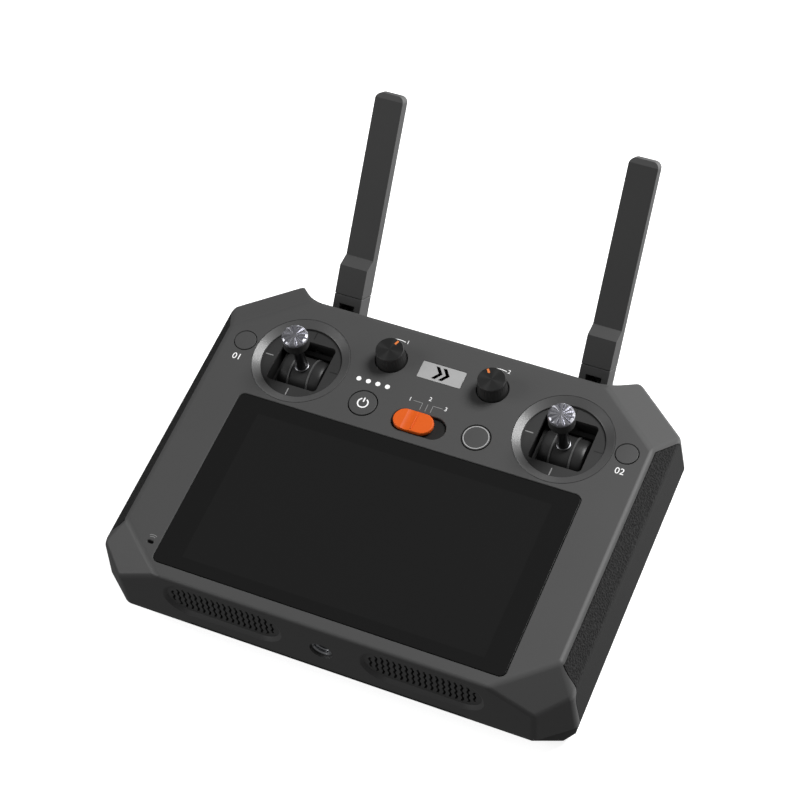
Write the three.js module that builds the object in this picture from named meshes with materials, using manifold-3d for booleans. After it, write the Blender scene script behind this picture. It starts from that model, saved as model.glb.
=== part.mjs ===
// Handheld radio transmitter controller with a built-in screen, lying on its back with the face up.
// Millimetres. +X is the operator's right, +Y runs away from the operator towards the antennas and
// +Z points out of the face. The origin is the centre of the rear rest pad, on the resting plane.
import * as THREE from "three";
import { ConvexGeometry } from "three/addons/geometries/ConvexGeometry.js";
import { mergeVertices } from "three/addons/utils/BufferGeometryUtils.js";
import Module from "manifold-3d";

// ---------- driving dimensions ----------
const gap = 0.3; // clearance between pieces that touch or slide
const faceZ = 42; // face plane above the resting plane
const rimZ = 13.5; // lower edge of the front shell's walls
const backZ = 1.5; // flat underside of the back shell
const topWall = 2.2; // thickness of the face
const sideWall = 3.8; // side walls, which carry the grips
const endWall = 2.6; // front and rear walls
const gripThickness = 1.9;

// Corners of the faceted casing, right half, as [x, y, z].
const faceFront = [66, -68, 42];
const faceSideFront = [88.3, -49.2, 42];
const faceSideRear = [88.9, 45, 42];
const faceRear = [62.5, 66.9, 42];
const ridgeFront = [84.4, -68.6, 31.6];
const ridgeSideFront = [95.4, -57.7, 34.1];
const ridgeSideRear = [95.5, 58.7, 34.2];
const earPeak = [72.6, 77.4, 34.2];
const rimFront = [83.7, -69.65, 13.5];
const rimSideFront = [96.8, -59.1, 13.5];
const rimSideRear = [96.9, 59.2, 13.5];
const rimEar = [73.2, 78.4, 13.5];
const recessY = 67.4; // rear wall between the two ears
const recessX = 62.6;

const glass = { width: 142, y0: -62, y1: 17.5, thickness: 1.2, corner: 2.4, sink: 0.1 };
const display = { width: 126, y0: -58.2, y1: 12.7, thickness: 2.8 };

const gimbal = { x: 55.2, y: 39, ringOuter: 19.7, ringInner: 16.2, plateZ: 39.75, window: 21.4 };
const gimbalPivotZ = 28.6;
const gimbalWell = 26.4; // clear width below the plate, for the yoke's swing
const drum = { radius: 9.2, length: 17.6, axleRadius: 2, rib: 4.1, ribDepth: 0.4 };
const yoke = { thickness: 2, halfHeight: 3 };
const stick = { shaftRadius: 1.7, collarRadius: 2.9, capRadius: 5.2, capBottomZ: 53.1, capTopZ: 59.5 };

const knob = { x: 21.4, y: 51.3, holeRadius: 6.4, radius: 6, topZ: 48.8 };
const pointerTurn = { left: -21, right: 38 }; // the painted groove's turn from straight ahead, degrees
const power = { x: -23.8, y: 28.7, radius: 5.5 };
const record = { x: 23.7, y: 28.5, radius: 5.45 };
const custom = { x: 80.2, y: 40.65, radius: 4.35 };
const mode = { x: 0.4, y: 26.9, length: 22.4, width: 10, capX: -1.6, capLength: 16.4, capWidth: 9.2,
  travel: 4.2 };
const led = { x: -23.8, y: 38.8, pitch: 4.05, count: 4, radius: 1 };
const badge = { x: 0.1, y: 51.05, width: 18.2, height: 7.8, thickness: 0.6 };
const mic = { x: -74.9, y: -55.2, width: 2.6, height: 1.3 };

const speaker = { x: 40.6, z: 30.1, length: 46.2, height: 16.4, depth: 0.9, columns: 19, pitch: 2.38 };
const speakerSlot = { width: 1.1, height: 14 };
const frontNotch = { halfWidth: 57, height: 1.3 }; // the rim steps up along the middle of the front wall
const tripod = { z: 27.2, holeRadius: 4.65, boreRadius: 3.175, depth: 9 };
const usb = { z: 26, width: 9.2, height: 3.5 };

const antenna = { x: 53.18, pivotY: 76, pivotZ: 23.1, tilt: 48.4, halfWidth: 5.97, halfThickness: 5.1 };
const knuckle = { top: 9.85, notchTop: 6.2, notchHalf: 3.25, notchBack: 4.1 };
const blade = { bottom: 10.15, shoulder0: 22, shoulder1: 25.5, tip: 93, front: 0.2, tipDrop: 2.1 };
const pinRadius = 1.5;
const hingeLug = 3.8; // radius of the bracket's two lugs

const screwPlaces = [[82, -42], [82, 24]]; // right half, mirrored to the left
const screw = { headRadius: 2.7, headZ: 9.7, headHeight: 2, shankRadius: 1.3, tipZ: 24 };
const fine = 28; // segments of a visible round
const ringSegments = 40;
const coarse = 14; // segments of a small or hidden round

// ---------- solids ----------
const wasm = await Module();
wasm.setup();

function solid(geometry) {
  const bare = geometry.clone();
  for (const name of ["normal", "uv"]) bare.deleteAttribute(name);
  const merged = mergeVertices(bare);
  const mesh = { numProp: 3, vertProperties: merged.attributes.position.array };
  const made = new wasm.Manifold(new wasm.Mesh({ ...mesh, triVerts: new Uint32Array(merged.index.array) }));
  return made;
}

function geometryOf(manifold) {
  const { numProp, vertProperties, triVerts } = manifold.getMesh();
  const geometry = new THREE.BufferGeometry();
  geometry.setAttribute("position", new THREE.BufferAttribute(vertProperties, numProp));
  geometry.setIndex(new THREE.BufferAttribute(triVerts, 1));
  const flat = geometry.toNonIndexed();
  flat.computeVertexNormals();
  return flat;
}

const joined = (first, ...rest) => rest.reduce((sum, piece) => sum.add(piece), first);
const cut = (first, ...tools) => tools.reduce((rest, tool) => rest.subtract(tool), first);

function block([x0, x1], [y0, y1], [z0, z1]) {
  const geometry = new THREE.BoxGeometry(x1 - x0, y1 - y0, z1 - z0);
  return solid(geometry.translate((x0 + x1) / 2, (y0 + y1) / 2, (z0 + z1) / 2));
}

function disc(x, y, [z0, z1], radius, segments = coarse) {
  const geometry = new THREE.CylinderGeometry(radius, radius, z1 - z0, segments);
  return solid(geometry.rotateX(Math.PI / 2).translate(x, y, (z0 + z1) / 2));
}

// Round bar along X, centred on x.
function barX(x, y, z, length, radius, segments = coarse) {
  const geometry = new THREE.CylinderGeometry(radius, radius, length, segments);
  return solid(geometry.rotateZ(Math.PI / 2).translate(x, y, z));
}

// Round bar along Y, from y0 to y1.
function barY(x, [y0, y1], z, radius, segments = coarse) {
  const geometry = new THREE.CylinderGeometry(radius, radius, y1 - y0, segments);
  return solid(geometry.translate(x, (y0 + y1) / 2, z));
}

function plate(shape, x, y, [z0, z1], curveSegments = 3) {
  const geometry = new THREE.ExtrudeGeometry(shape, { depth: z1 - z0, bevelEnabled: false, curveSegments });
  return solid(geometry.translate(x, y, z0));
}

// Plate standing upright in the XZ plane, between y0 and y1.
function uprightPlate(shape, x, [y0, y1], z, curveSegments = 4) {
  const geometry = new THREE.ExtrudeGeometry(shape, { depth: y1 - y0, bevelEnabled: false, curveSegments });
  return solid(geometry.rotateX(Math.PI / 2).translate(x, y1, z));
}

// Turned piece about a vertical axis: the profile is a closed loop of [radius, z].
function turned(profile, x, y, segments = fine) {
  const points = profile.map(([radius, z]) => new THREE.Vector2(radius, z));
  return solid(new THREE.LatheGeometry(points, segments).rotateX(Math.PI / 2).translate(x, y, 0));
}

function roundedRectangle(width, height, radius) {
  const [w, h, r] = [width / 2, height / 2, radius];
  const shape = new THREE.Shape().moveTo(w - r, -h);
  shape.absarc(w - r, -h + r, r, -Math.PI / 2, 0, false);
  shape.absarc(w - r, h - r, r, 0, Math.PI / 2, false);
  shape.absarc(-w + r, h - r, r, Math.PI / 2, Math.PI, false);
  shape.absarc(-w + r, -h + r, r, Math.PI, Math.PI * 1.5, false);
  return shape;
}

function stadium(length, width) {
  const [half, r] = [(length - width) / 2, width / 2];
  const shape = new THREE.Shape().moveTo(half, -r);
  shape.absarc(half, 0, r, -Math.PI / 2, Math.PI / 2, false);
  shape.absarc(-half, 0, r, Math.PI / 2, Math.PI * 1.5, false);
  return shape;
}

function hull(points) {
  return solid(new ConvexGeometry(points.map((point) => new THREE.Vector3(...point))));
}

const wallY = (z) => faceFront[1] + ((rimFront[1] - faceFront[1]) * (faceZ - z)) / (faceZ - rimZ);
const bothSides = (points) => points.flatMap(([x, y, z]) => [[x, y, z], [-x, y, z]]);

// ---------- casing ----------
const casingCorners = [
  faceFront, faceSideFront, faceSideRear, faceRear,
  ridgeFront, ridgeSideFront, ridgeSideRear, earPeak,
  rimFront, rimSideFront, rimSideRear, rimEar,
];

// The casing's outer body, moved in by the given amounts and extended below the rim by below.
function casingBody(inX, inY, inZ, below = 0) {
  const inside = casingCorners.map(([x, y, z]) => {
    const depth = z === rimZ ? rimZ - below : z - inZ;
    return [x - inX, y - Math.sign(y) * inY, depth];
  });
  return hull(bothSides(inside));
}

// Plan of the recess between the ears, where the antennas stand; grow moves its walls outwards.
function recess(grow = 0) {
  const [near, far] = [recessY - grow, recessY + 20];
  const slope = (earPeak[0] - recessX) / (earPeak[1] - recessY);
  const [cornerX, farX] = [recessX + grow, recessX + grow + (far - near) * slope];
  const round = 4.5; // length of the rounding along each wall
  const shape = new THREE.Shape().moveTo(-farX, far);
  shape.lineTo(-cornerX - round * slope, near + round);
  shape.quadraticCurveTo(-cornerX, near, -cornerX + round, near);
  shape.lineTo(cornerX - round, near);
  shape.quadraticCurveTo(cornerX, near, cornerX + round * slope, near + round).lineTo(farX, far);
  return plate(shape, 0, 0, [-5, faceZ + 5], 5);
}

// Side view outline of a grip, as y and z: it stays inside the chamfer's ends and under the face edge.
function gripOutline(grow, bottomZ) {
  const shape = new THREE.Shape();
  shape.moveTo(-49.6 - grow, 40.7 + grow);
  shape.bezierCurveTo(-52.6 - grow, 38, -52.2 - grow, 35.4, -54.6 - grow, 32.6);
  shape.bezierCurveTo(-55.8 - grow, 31, -56.2 - grow, 29, -56.2 - grow, 26);
  shape.lineTo(-56.2 - grow, bottomZ).lineTo(57.8 + grow, bottomZ).lineTo(56.6 + grow, 32);
  shape.quadraticCurveTo(56.6 + grow, 33.8, 55, 34.8 + grow).lineTo(45.4, 40.7 + grow);
  return shape;
}

function gripRegion(side, grow, bottomZ) {
  const settings = { depth: 20, bevelEnabled: false, curveSegments: 5 };
  const geometry = new THREE.ExtrudeGeometry(gripOutline(grow, bottomZ), settings);
  // The extrusion's own x, y and z become the part's y, z and x.
  const turn = new THREE.Matrix4().makeBasis(
    new THREE.Vector3(0, 1, 0), new THREE.Vector3(0, 0, 1), new THREE.Vector3(1, 0, 0));
  return solid(geometry.applyMatrix4(turn).translate(side > 0 ? 84 : -104, 0, 0));
}

const outerBody = casingBody(0, 0, 0).subtract(recess());
const gripBed = casingBody(gripThickness + gap, 0, (gripThickness + gap) / 2, 5);
const gripBack = casingBody(gripThickness, 0, gripThickness / 2, 5);

function grip(side) {
  return outerBody.intersect(gripRegion(side, 0, rimZ - 1)).subtract(gripBack);
}

function screwBoss(side, [x, y]) {
  const post = disc(side * x, y, [rimZ + 1, faceZ - topWall + 0.5], 3.2);
  return { post, hole: disc(side * x, y, [rimZ, screw.tipZ + 2], screw.shankRadius + gap, 12) };
}

// Bevelled recess with the hole that the grille fills.
function speakerOpening(side) {
  const x = side * speaker.x;
  const hole = stadium(speaker.length + 2 * gap, speaker.height + 2 * gap);
  const bevel = 3.4;
  const edge = wallY(speaker.z);
  const ring = (shape, y) =>
    shape.getPoints(4).map((point) => [x + point.x, y(point.y), speaker.z + point.y]);
  const rim = stadium(speaker.length + bevel, speaker.height + bevel);
  const outer = ring(rim, (up) => wallY(speaker.z + up) - 0.05);
  const inner = ring(hole, () => edge + speaker.depth);
  return uprightPlate(hole, x, [edge - 3, edge + 12], speaker.z).add(hull([...outer, ...inner]));
}

function frontShell() {
  const cavity = casingBody(sideWall, endWall, topWall, 5).subtract(recess(endWall));
  const through = [faceZ - 6, faceZ + 1];
  let shell = outerBody.subtract(cavity);
  for (const side of [-1, 1]) {
    shell = shell.subtract(gripRegion(side, gap, rimZ - 5).subtract(gripBed));
    for (const place of screwPlaces) {
      const { post, hole } = screwBoss(side, place);
      shell = shell.add(post).subtract(hole);
    }
    shell = cut(
      shell,
      disc(side * gimbal.x, gimbal.y, through, gimbal.ringOuter + gap, ringSegments),
      disc(side * knob.x, knob.y, through, knob.holeRadius, fine),
      disc(side * custom.x, custom.y, through, custom.radius + gap, fine),
      speakerOpening(side),
    );
  }
  const glassY = (glass.y0 + glass.y1) / 2;
  const glassHeight = glass.y1 - glass.y0;
  const pocket = roundedRectangle(glass.width + 2 * gap, glassHeight + 2 * gap, glass.corner + gap);
  const pocketFloor = faceZ - glass.sink - glass.thickness - gap;
  shell = cut(
    shell,
    disc(power.x, power.y, through, power.radius + gap, fine),
    disc(record.x, record.y, through, record.radius + gap, fine),
    plate(stadium(mode.length, mode.width), mode.x, mode.y, through),
    plate(roundedRectangle(badge.width + 2 * gap, badge.height + 2 * gap, 0.6), badge.x, badge.y,
      [faceZ - badge.thickness - gap, faceZ + 1]),
    plate(stadium(mic.width, mic.height), mic.x, mic.y, through, 3),
    plate(pocket, 0, glassY, [pocketFloor, faceZ + 1]),
    block([-display.width / 2 - 1, display.width / 2 + 1], [display.y0 - 1, display.y1 + 1], through),
    barY(0, [-75, -60], tripod.z, tripod.holeRadius, fine),
    block([-frontNotch.halfWidth, frontNotch.halfWidth], [-75, -60], [rimZ - 5, rimZ + frontNotch.height]),
    uprightPlate(stadium(usb.width + 2 * gap, usb.height + 2 * gap), 0, [recessY - 8, recessY + 3], usb.z),
  );
  for (let i = 0; i < led.count; i++) {
    const x = led.x + (i - (led.count - 1) / 2) * led.pitch;
    shell = shell.subtract(disc(x, led.y, through, led.radius + gap, 12));
  }
  return shell;
}

// Underside: a tray that closes the front shell. Its palm rests keep their width at the front
// corners, and the rest draws in towards the flat that the pads sit on.
const palmCorners = [[81.1, -66], [91.9, -62], [95.2, -57.6], [94.6, 52], [71, 71]];
const palmZ = 4.6;

function backTray(inset, floorZ, topZ) {
  const ring = (corners, inX, inY, z) =>
    corners.map(([x, y]) => [x - inX - inset, y - Math.sign(y) * (inY + inset), z]);
  const rim = [rimFront, rimSideFront, rimSideRear, rimEar];
  return hull(bothSides([
    ...ring(rim, gap, gap, topZ),
    ...ring(palmCorners, 0, 0, palmZ),
    ...ring(palmCorners, 7, 7, floorZ),
  ]));
}

const batteryCover = { width: 92, y0: -46, y1: 22, thickness: 1.6, corner: 5 };

function backShell() {
  const topZ = rimZ - gap;
  const outer = backTray(0, backZ, topZ).subtract(recess());
  const inner = backTray(2.2, backZ + 2.2, topZ + 1).subtract(recess(2.2));
  let shell = outer.subtract(inner);
  for (const side of [-1, 1]) {
    for (const [x, y] of screwPlaces) {
      const underHead = screw.headZ + gap;
      shell = shell.add(disc(side * x, y, [backZ + 0.6, underHead + 2.2], 4.6));
      shell = shell.subtract(disc(side * x, y, [backZ - 1, underHead], screw.headRadius + gap));
      shell = shell.subtract(disc(side * x, y, [backZ - 1, rimZ + 1], screw.shankRadius + gap, 12));
    }
  }
  const { width, y0, y1, thickness, corner } = batteryCover;
  const coverY = (y0 + y1) / 2;
  const seat = roundedRectangle(width + 2 * gap, y1 - y0 + 2 * gap, corner + gap);
  shell = shell.subtract(plate(seat, 0, coverY, [backZ - 1, backZ + thickness + gap]));
  const opening = roundedRectangle(width - 6, y1 - y0 - 6, corner);
  shell = shell.subtract(plate(opening, 0, coverY, [backZ - 1, backZ + 5]));
  for (let row = 0; row < 5; row++)
    shell = shell.subtract(plate(stadium(34, 2), 0, 32 + row * 4.6, [backZ - 1, backZ + 5], 3));
  return shell;
}

// ---------- gimbals ----------
function gimbalRing(side) {
  const { ringOuter, ringInner, plateZ } = gimbal;
  const bottom = plateZ + gap;
  const profile = [[ringInner, bottom], [ringOuter, bottom], [ringOuter, faceZ], [ringInner, bottom + 0.5],
    [ringInner, bottom]];
  return turned(profile, side * gimbal.x, gimbal.y, ringSegments);
}

function gimbalCase(side) {
  const [x, y] = [side * gimbal.x, gimbal.y];
  const bottom = gimbalPivotZ - 9;
  const plateBottom = gimbal.plateZ - 1.6;
  const wall = 1.6;
  const outerWidth = gimbalWell + 2 * wall;
  const outer = joined(
    disc(x, y, [plateBottom, gimbal.plateZ], gimbal.ringOuter, ringSegments),
    plate(roundedRectangle(outerWidth, outerWidth, 2), x, y, [bottom, plateBottom + 0.5]),
  );
  const well = plate(roundedRectangle(gimbalWell, gimbalWell, 1), x, y, [bottom - 1, plateBottom]);
  const hole = plate(roundedRectangle(gimbal.window, gimbal.window, 1.6), x, y, [bottom, faceZ]);
  return cut(outer, well, hole, barY(x, [y - 20, y + 20], gimbalPivotZ, drum.axleRadius + gap));
}

// Frame that carries the drum's axle along X and swings on its own stub axles along Y.
function gimbalYoke(side) {
  const [x, y, z] = [side * gimbal.x, gimbal.y, gimbalPivotZ];
  const [innerX, innerY] = [drum.length / 2 + gap, drum.radius + gap];
  const [outerX, outerY] = [innerX + yoke.thickness, innerY + yoke.thickness];
  const height = [z - yoke.halfHeight, z + yoke.halfHeight];
  const frame = block([x - outerX, x + outerX], [y - outerY, y + outerY], height);
  const axle = barY(x, [y - gimbalWell / 2 - 1.3, y + gimbalWell / 2 + 1.3], z, drum.axleRadius);
  const inside = block([x - innerX, x + innerX], [y - innerY, y + innerY], [z - 9, z + 9]);
  return cut(frame.add(axle), inside, barX(x, y, z, 40, drum.axleRadius + gap));
}

// Barrel that rolls about X with the stick; two raised ribs run round it.
function gimbalDrum(side) {
  const [x, y, z] = [side * gimbal.x, gimbal.y, gimbalPivotZ];
  const [half, radius, rib] = [drum.length / 2, drum.radius, drum.rib];
  const low = radius - drum.ribDepth;
  const profile = [
    [0, -half], [radius - 1.6, -half], [low, -half + 1.4], [low, -rib - 0.5], [radius, -rib - 0.3],
    [radius, rib + 0.3], [low, rib + 0.5], [low, half - 1.4], [radius - 1.6, half], [0, half],
  ];
  const points = profile.map(([r, along]) => new THREE.Vector2(r, along));
  const barrel = solid(new THREE.LatheGeometry(points, fine).rotateZ(-Math.PI / 2).translate(x, y, z));
  const axle = barX(x, y, z, drum.length + 3.6, drum.axleRadius);
  const bore = disc(x, y, [z + drum.radius - 3, z + 20], stick.shaftRadius + gap);
  return barrel.add(axle).subtract(bore);
}

function stickShaft(side) {
  const { shaftRadius, collarRadius, capBottomZ } = stick;
  const drumTop = gimbalPivotZ + drum.radius;
  const [foot, collar, top] = [drumTop - 2.7, drumTop + gap, capBottomZ + 3.4];
  const profile = [
    [0, foot], [shaftRadius, foot], [shaftRadius, collar], [collarRadius, collar],
    [collarRadius, collar + 0.6], [shaftRadius, collar + 0.9], [shaftRadius, top], [0, top],
  ];
  return turned(profile, side * gimbal.x, gimbal.y, coarse);
}

// Knurled cap: the crown is a shallow cone of radial teeth.
function stickCap(side) {
  const [x, y] = [side * gimbal.x, gimbal.y];
  const { capRadius, capBottomZ, capTopZ, shaftRadius } = stick;
  const bore = shaftRadius + gap;
  const profile = [
    [0, capBottomZ + 3.7], [bore, capBottomZ + 3.7], [bore, capBottomZ], [capRadius - 0.6, capBottomZ],
    [capRadius, capBottomZ + 0.6], [capRadius, capTopZ - 0.9], [capRadius - 0.9, capTopZ], [0, capTopZ],
  ];
  let cap = turned(profile, x, y, fine);
  const teeth = 12;
  for (let i = 0; i < teeth; i++) {
    const angle = (i / teeth) * Math.PI * 2;
    const at = (radius, turn, z) =>
      [x + radius * Math.cos(angle + turn), y + radius * Math.sin(angle + turn), z];
    const reach = capRadius + 1;
    const groove = [at(1.2, 0, capTopZ - 0.2), at(1.3, 0, capTopZ + 1)];
    for (const turn of [-0.11, 0.11]) groove.push(at(reach, turn, capTopZ + 0.4));
    groove.push(at(reach, 0, capTopZ - 1.1));
    cap = cap.subtract(hull(groove));
  }
  return cap;
}

// ---------- controls on the face ----------
// A round button held in from below by its flange.
function button({ x, y, radius }, rise) {
  const profile = [
    [0, faceZ - 4.6], [radius + 0.7, faceZ - 4.6], [radius + 0.7, faceZ - 3.5], [radius, faceZ - 3.5],
    [radius, faceZ + rise], [0, faceZ + rise],
  ];
  return turned(profile, x, y);
}

function turnedAbout(shape, x, y, degrees) {
  return shape.translate([-x, -y, 0]).rotate([0, 0, degrees]).translate([x, y, 0]);
}

function knobBody(side) {
  const { radius, topZ } = knob;
  const profile = [
    [0, faceZ - 1.4], [radius, faceZ - 1.4], [radius, faceZ + 0.4], [radius - 0.45, topZ - 0.35],
    [radius - 0.65, topZ], [0, topZ],
  ];
  const [x, y] = [side * knob.x, knob.y];
  const slot = block([x - 0.45, x + 0.45], [y + 3.1, y + 5.1], [topZ - 0.3, topZ + 1]);
  const turn = side < 0 ? pointerTurn.left : pointerTurn.right;
  const bore = disc(x, y, [faceZ - 2, topZ - 2.4], 3 + gap);
  return cut(turned(profile, x, y), turnedAbout(slot, x, y, turn), bore);
}

function knobPotentiometer(side) {
  const [x, y] = [side * knob.x, knob.y];
  return joined(
    plate(roundedRectangle(13, 13, 1.5), x, y, [faceZ - 11, faceZ - 4]),
    disc(x, y, [faceZ - 4.5, faceZ - 2.2], 4.5),
    disc(x, y, [faceZ - 3, knob.topZ - 2.7], 3),
  );
}

function modeSlider() {
  const { capX, y, capLength, capWidth } = mode;
  const top = faceZ + 1.6;
  const neck = [faceZ - 5, faceZ - 0.4];
  return joined(
    plate(stadium(capLength, capWidth), capX, y, [faceZ - 0.6, top]),
    plate(stadium(capLength - 1.6, capWidth - 1.6), capX, y, [top - 0.2, top + 0.4]),
    block([capX - 0.45, capX + 0.45], [y - 3.4, y + 3.4], [top, top + 0.9]),
    block([capX - 3, capX + 3], [y - 2, y + 2], neck),
  );
}

// Fixed track under the slider, seen as the floor of the slot.
function modeSwitch() {
  const { x, y, length, width } = mode;
  const floor = plate(stadium(length - 2 * gap, width - 2 * gap), x, y, [faceZ - 2.7, faceZ - 1.2]);
  const housing = block([x - 13, x + 13], [y - 5.5, y + 5.5], [faceZ - 7.5, faceZ - 2.6]);
  const { capX, travel } = mode;
  const trackX = [capX - 3 - gap, capX + 3 + gap + travel];
  const track = block(trackX, [y - 2 - gap, y + 2 + gap], [faceZ - 5 - gap, faceZ]);
  return floor.add(housing).subtract(track);
}

function ledLightPipe() {
  const halfLength = ((led.count - 1) / 2) * led.pitch + 1.6;
  const [barX0, barX1] = [led.x - halfLength, led.x + halfLength];
  let pipe = block([barX0, barX1], [led.y - 1.4, led.y + 1.4], [faceZ - 4.2, faceZ - 2.5]);
  for (let i = 0; i < led.count; i++) {
    const x = led.x + (i - (led.count - 1) / 2) * led.pitch;
    pipe = pipe.add(disc(x, led.y, [faceZ - 2.6, faceZ], led.radius, 12));
  }
  return pipe;
}

// ---------- front wall ----------
function speakerGrille(side) {
  const y = wallY(speaker.z) + speaker.depth;
  const outline = stadium(speaker.length, speaker.height);
  let grille = uprightPlate(outline, side * speaker.x, [y, y + 1.6], speaker.z);
  const straight = (speaker.length - speaker.height) / 2;
  for (let i = 0; i < speaker.columns; i++) {
    const offset = (i - (speaker.columns - 1) / 2) * speaker.pitch;
    const overEnd = Math.max(0, Math.abs(offset) - straight);
    const half = Math.sqrt((speakerSlot.height / 2) ** 2 - overEnd ** 2);
    const [left, right] = [-1, 1].map((hand) => side * speaker.x + offset + (hand * speakerSlot.width) / 2);
    grille = grille.subtract(block([left, right], [y - 1, y + 3], [speaker.z - half, speaker.z + half]));
  }
  return grille;
}

function speakerDriver(side) {
  const y = wallY(speaker.z) + speaker.depth + 1.6 + gap;
  const [flange, basket] = [[1, 1], [10, 3]].map(([lengthLess, heightLess]) =>
    stadium(speaker.length - lengthLess, speaker.height - heightLess));
  return joined(
    uprightPlate(flange, side * speaker.x, [y, y + 1.5], speaker.z),
    uprightPlate(basket, side * speaker.x, [y + 1.4, y + 5], speaker.z),
  );
}

function tripodInsert() {
  const y = wallY(tripod.z) + 0.9;
  const outer = joined(
    barY(0, [y, y + tripod.depth], tripod.z, tripod.holeRadius - gap, fine),
    uprightPlate(roundedRectangle(16, 11, 2), 0, [y + 3.4, y + tripod.depth], tripod.z),
  );
  return outer.subtract(barY(0, [y - 1, y + tripod.depth + 1], tripod.z, tripod.boreRadius, fine));
}

// ---------- antennas ----------
// Antenna pieces are drawn upright about the hinge axis: x across, y through the thickness with
// the operator's side at -y, z along the blade. A nested group then leans them back.
function antennaKnuckle() {
  const { halfWidth, halfThickness } = antenna;
  const stem = block([-halfWidth, halfWidth], [-halfThickness, halfThickness], [0, knuckle.top]);
  const { notchHalf, notchTop, notchBack } = knuckle;
  const notch = block([-notchHalf, notchHalf], [-8, notchBack], [-8, notchTop]);
  const body = stem.add(barX(0, 0, 0, 2 * halfWidth, halfThickness, fine));
  return cut(body, notch, barX(0, 0, 0, 20, pinRadius + gap));
}

function antennaBlade() {
  const { halfWidth, halfThickness } = antenna;
  const { bottom, shoulder0, shoulder1, tip, front, tipDrop } = blade;
  const side = new THREE.Shape().moveTo(-halfThickness, bottom);
  side.lineTo(halfThickness, bottom).lineTo(halfThickness, tip).lineTo(-front + 1, tip);
  side.lineTo(-front, tip - tipDrop).lineTo(-front, shoulder1).lineTo(-halfThickness, shoulder0);
  const turn = new THREE.Matrix4().makeBasis(
    new THREE.Vector3(0, 1, 0), new THREE.Vector3(0, 0, 1), new THREE.Vector3(1, 0, 0));
  const extruded = new THREE.ExtrudeGeometry(side, { depth: 2 * halfWidth, bevelEnabled: false });
  const bar = solid(extruded.applyMatrix4(turn).translate(-halfWidth, 0, 0));
  const length = tip - bottom + 10;
  const outline = roundedRectangle(2 * halfWidth, length, 2.6);
  return bar.intersect(uprightPlate(outline, 0, [-9, 9], tip - length / 2));
}

const hingePin = () => barX(0, 0, 0, 2 * antenna.halfWidth - 0.6, pinRadius);

function hingeBracket(side) {
  const [x, y, z] = [side * antenna.x, antenna.pivotY, antenna.pivotZ];
  const tongue = knuckle.notchHalf - gap;
  let bracket = block([x - 5, x + 5], [recessY + gap, recessY + 1.6], [z - 8, z + 4.6]);
  bracket = bracket.add(block([x - tongue, x + tongue], [recessY + 1.5, y], [z - hingeLug, z + hingeLug]));
  bracket = bracket.add(barX(x, y, z, 2 * tongue, hingeLug));
  const groove = block([x - 1.05, x + 1.05], [recessY + 3, y + 8], [z - 8, z + 8]);
  return cut(bracket, groove, barX(x, y, z, 20, pinRadius + gap));
}

// ---------- inside ----------
function mainBoard() {
  return joined(
    block([-76, 76], [-57, 10], [30, 31.6]),
    block([-24, 6], [-40, -12], [31.5, 34.5]),
    block([14, 36], [-36, -14], [31.5, 33.6]),
    block([-58, -40], [-30, -8], [31.5, 34]),
    block([44, 64], [-26, -4], [31.5, 33]),
  );
}

function controlBoard() {
  let board = block([-33, 33], [21, 44.5], [31, 32.6]);
  for (const { x, y } of [power, record]) board = board.add(disc(x, y, [32.5, faceZ - 5.6], 2.2));
  board = board.add(block([led.x - 7, led.x + 7], [led.y - 1.5, led.y + 1.5], [32.5, faceZ - 4.5]));
  return board;
}

function heatSink() {
  let sink = block([-19, 19], [28, 54], [15.2, 17]);
  for (let i = 0; i < 8; i++) {
    const x = -18.2 + i * 5.2;
    sink = sink.add(block([x - 0.6, x + 0.6], [28, 54], [7, 15.4]));
  }
  return sink;
}

function usbSocket() {
  const outer = uprightPlate(stadium(usb.width, usb.height), 0, [recessY - 8, recessY - 0.4], usb.z);
  const inner = stadium(usb.width - 0.8, usb.height - 0.8);
  const mouth = uprightPlate(inner, 0, [recessY - 6.6, recessY + 1], usb.z);
  const tongue = block([-3.3, 3.3], [recessY - 7, recessY - 1.4], [usb.z - 0.35, usb.z + 0.35]);
  return outer.subtract(mouth).add(tongue);
}

// Coaxial lead from the radio module to the wall beside a hinge.
function coaxLead(side) {
  const route = new THREE.CatmullRomCurve3([
    new THREE.Vector3(side * 22.6, 48, 22), new THREE.Vector3(side * 30, 50, 22),
    new THREE.Vector3(side * 42, 60.5, 22), new THREE.Vector3(side * 53, 63.6, 22),
  ]);
  const section = new THREE.Shape().absarc(0, 0, 0.9, 0, Math.PI * 2, false);
  return new THREE.ExtrudeGeometry(section, { steps: 12, extrudePath: route, curveSegments: 4 });
}

function caseScrew(x, y) {
  const { headRadius, headZ, headHeight, shankRadius, tipZ } = screw;
  const head = headZ - headHeight;
  const profile = [
    [0, head], [headRadius, head], [headRadius, headZ], [shankRadius, headZ], [shankRadius, tipZ], [0, tipZ],
  ];
  const body = turned(profile, x, y, coarse);
  return body.subtract(disc(x, y, [head - 1, head + 1.1], 1.2, 6));
}

const padBottom = [0, backZ - gap];

// ---------- assembly ----------
const paint = (color, roughness, metalness = 0) =>
  new THREE.MeshStandardMaterial({ color, roughness, metalness });
const root = new THREE.Group();

function place(name, shape, color, roughness, metalness, parent = root) {
  const geometry = shape.isBufferGeometry ? shape : geometryOf(shape);
  const mesh = new THREE.Mesh(geometry, paint(color, roughness, metalness));
  mesh.name = name;
  parent.add(mesh);
}

const glassY = (glass.y0 + glass.y1) / 2;
const glassTop = faceZ - glass.sink;

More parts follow.
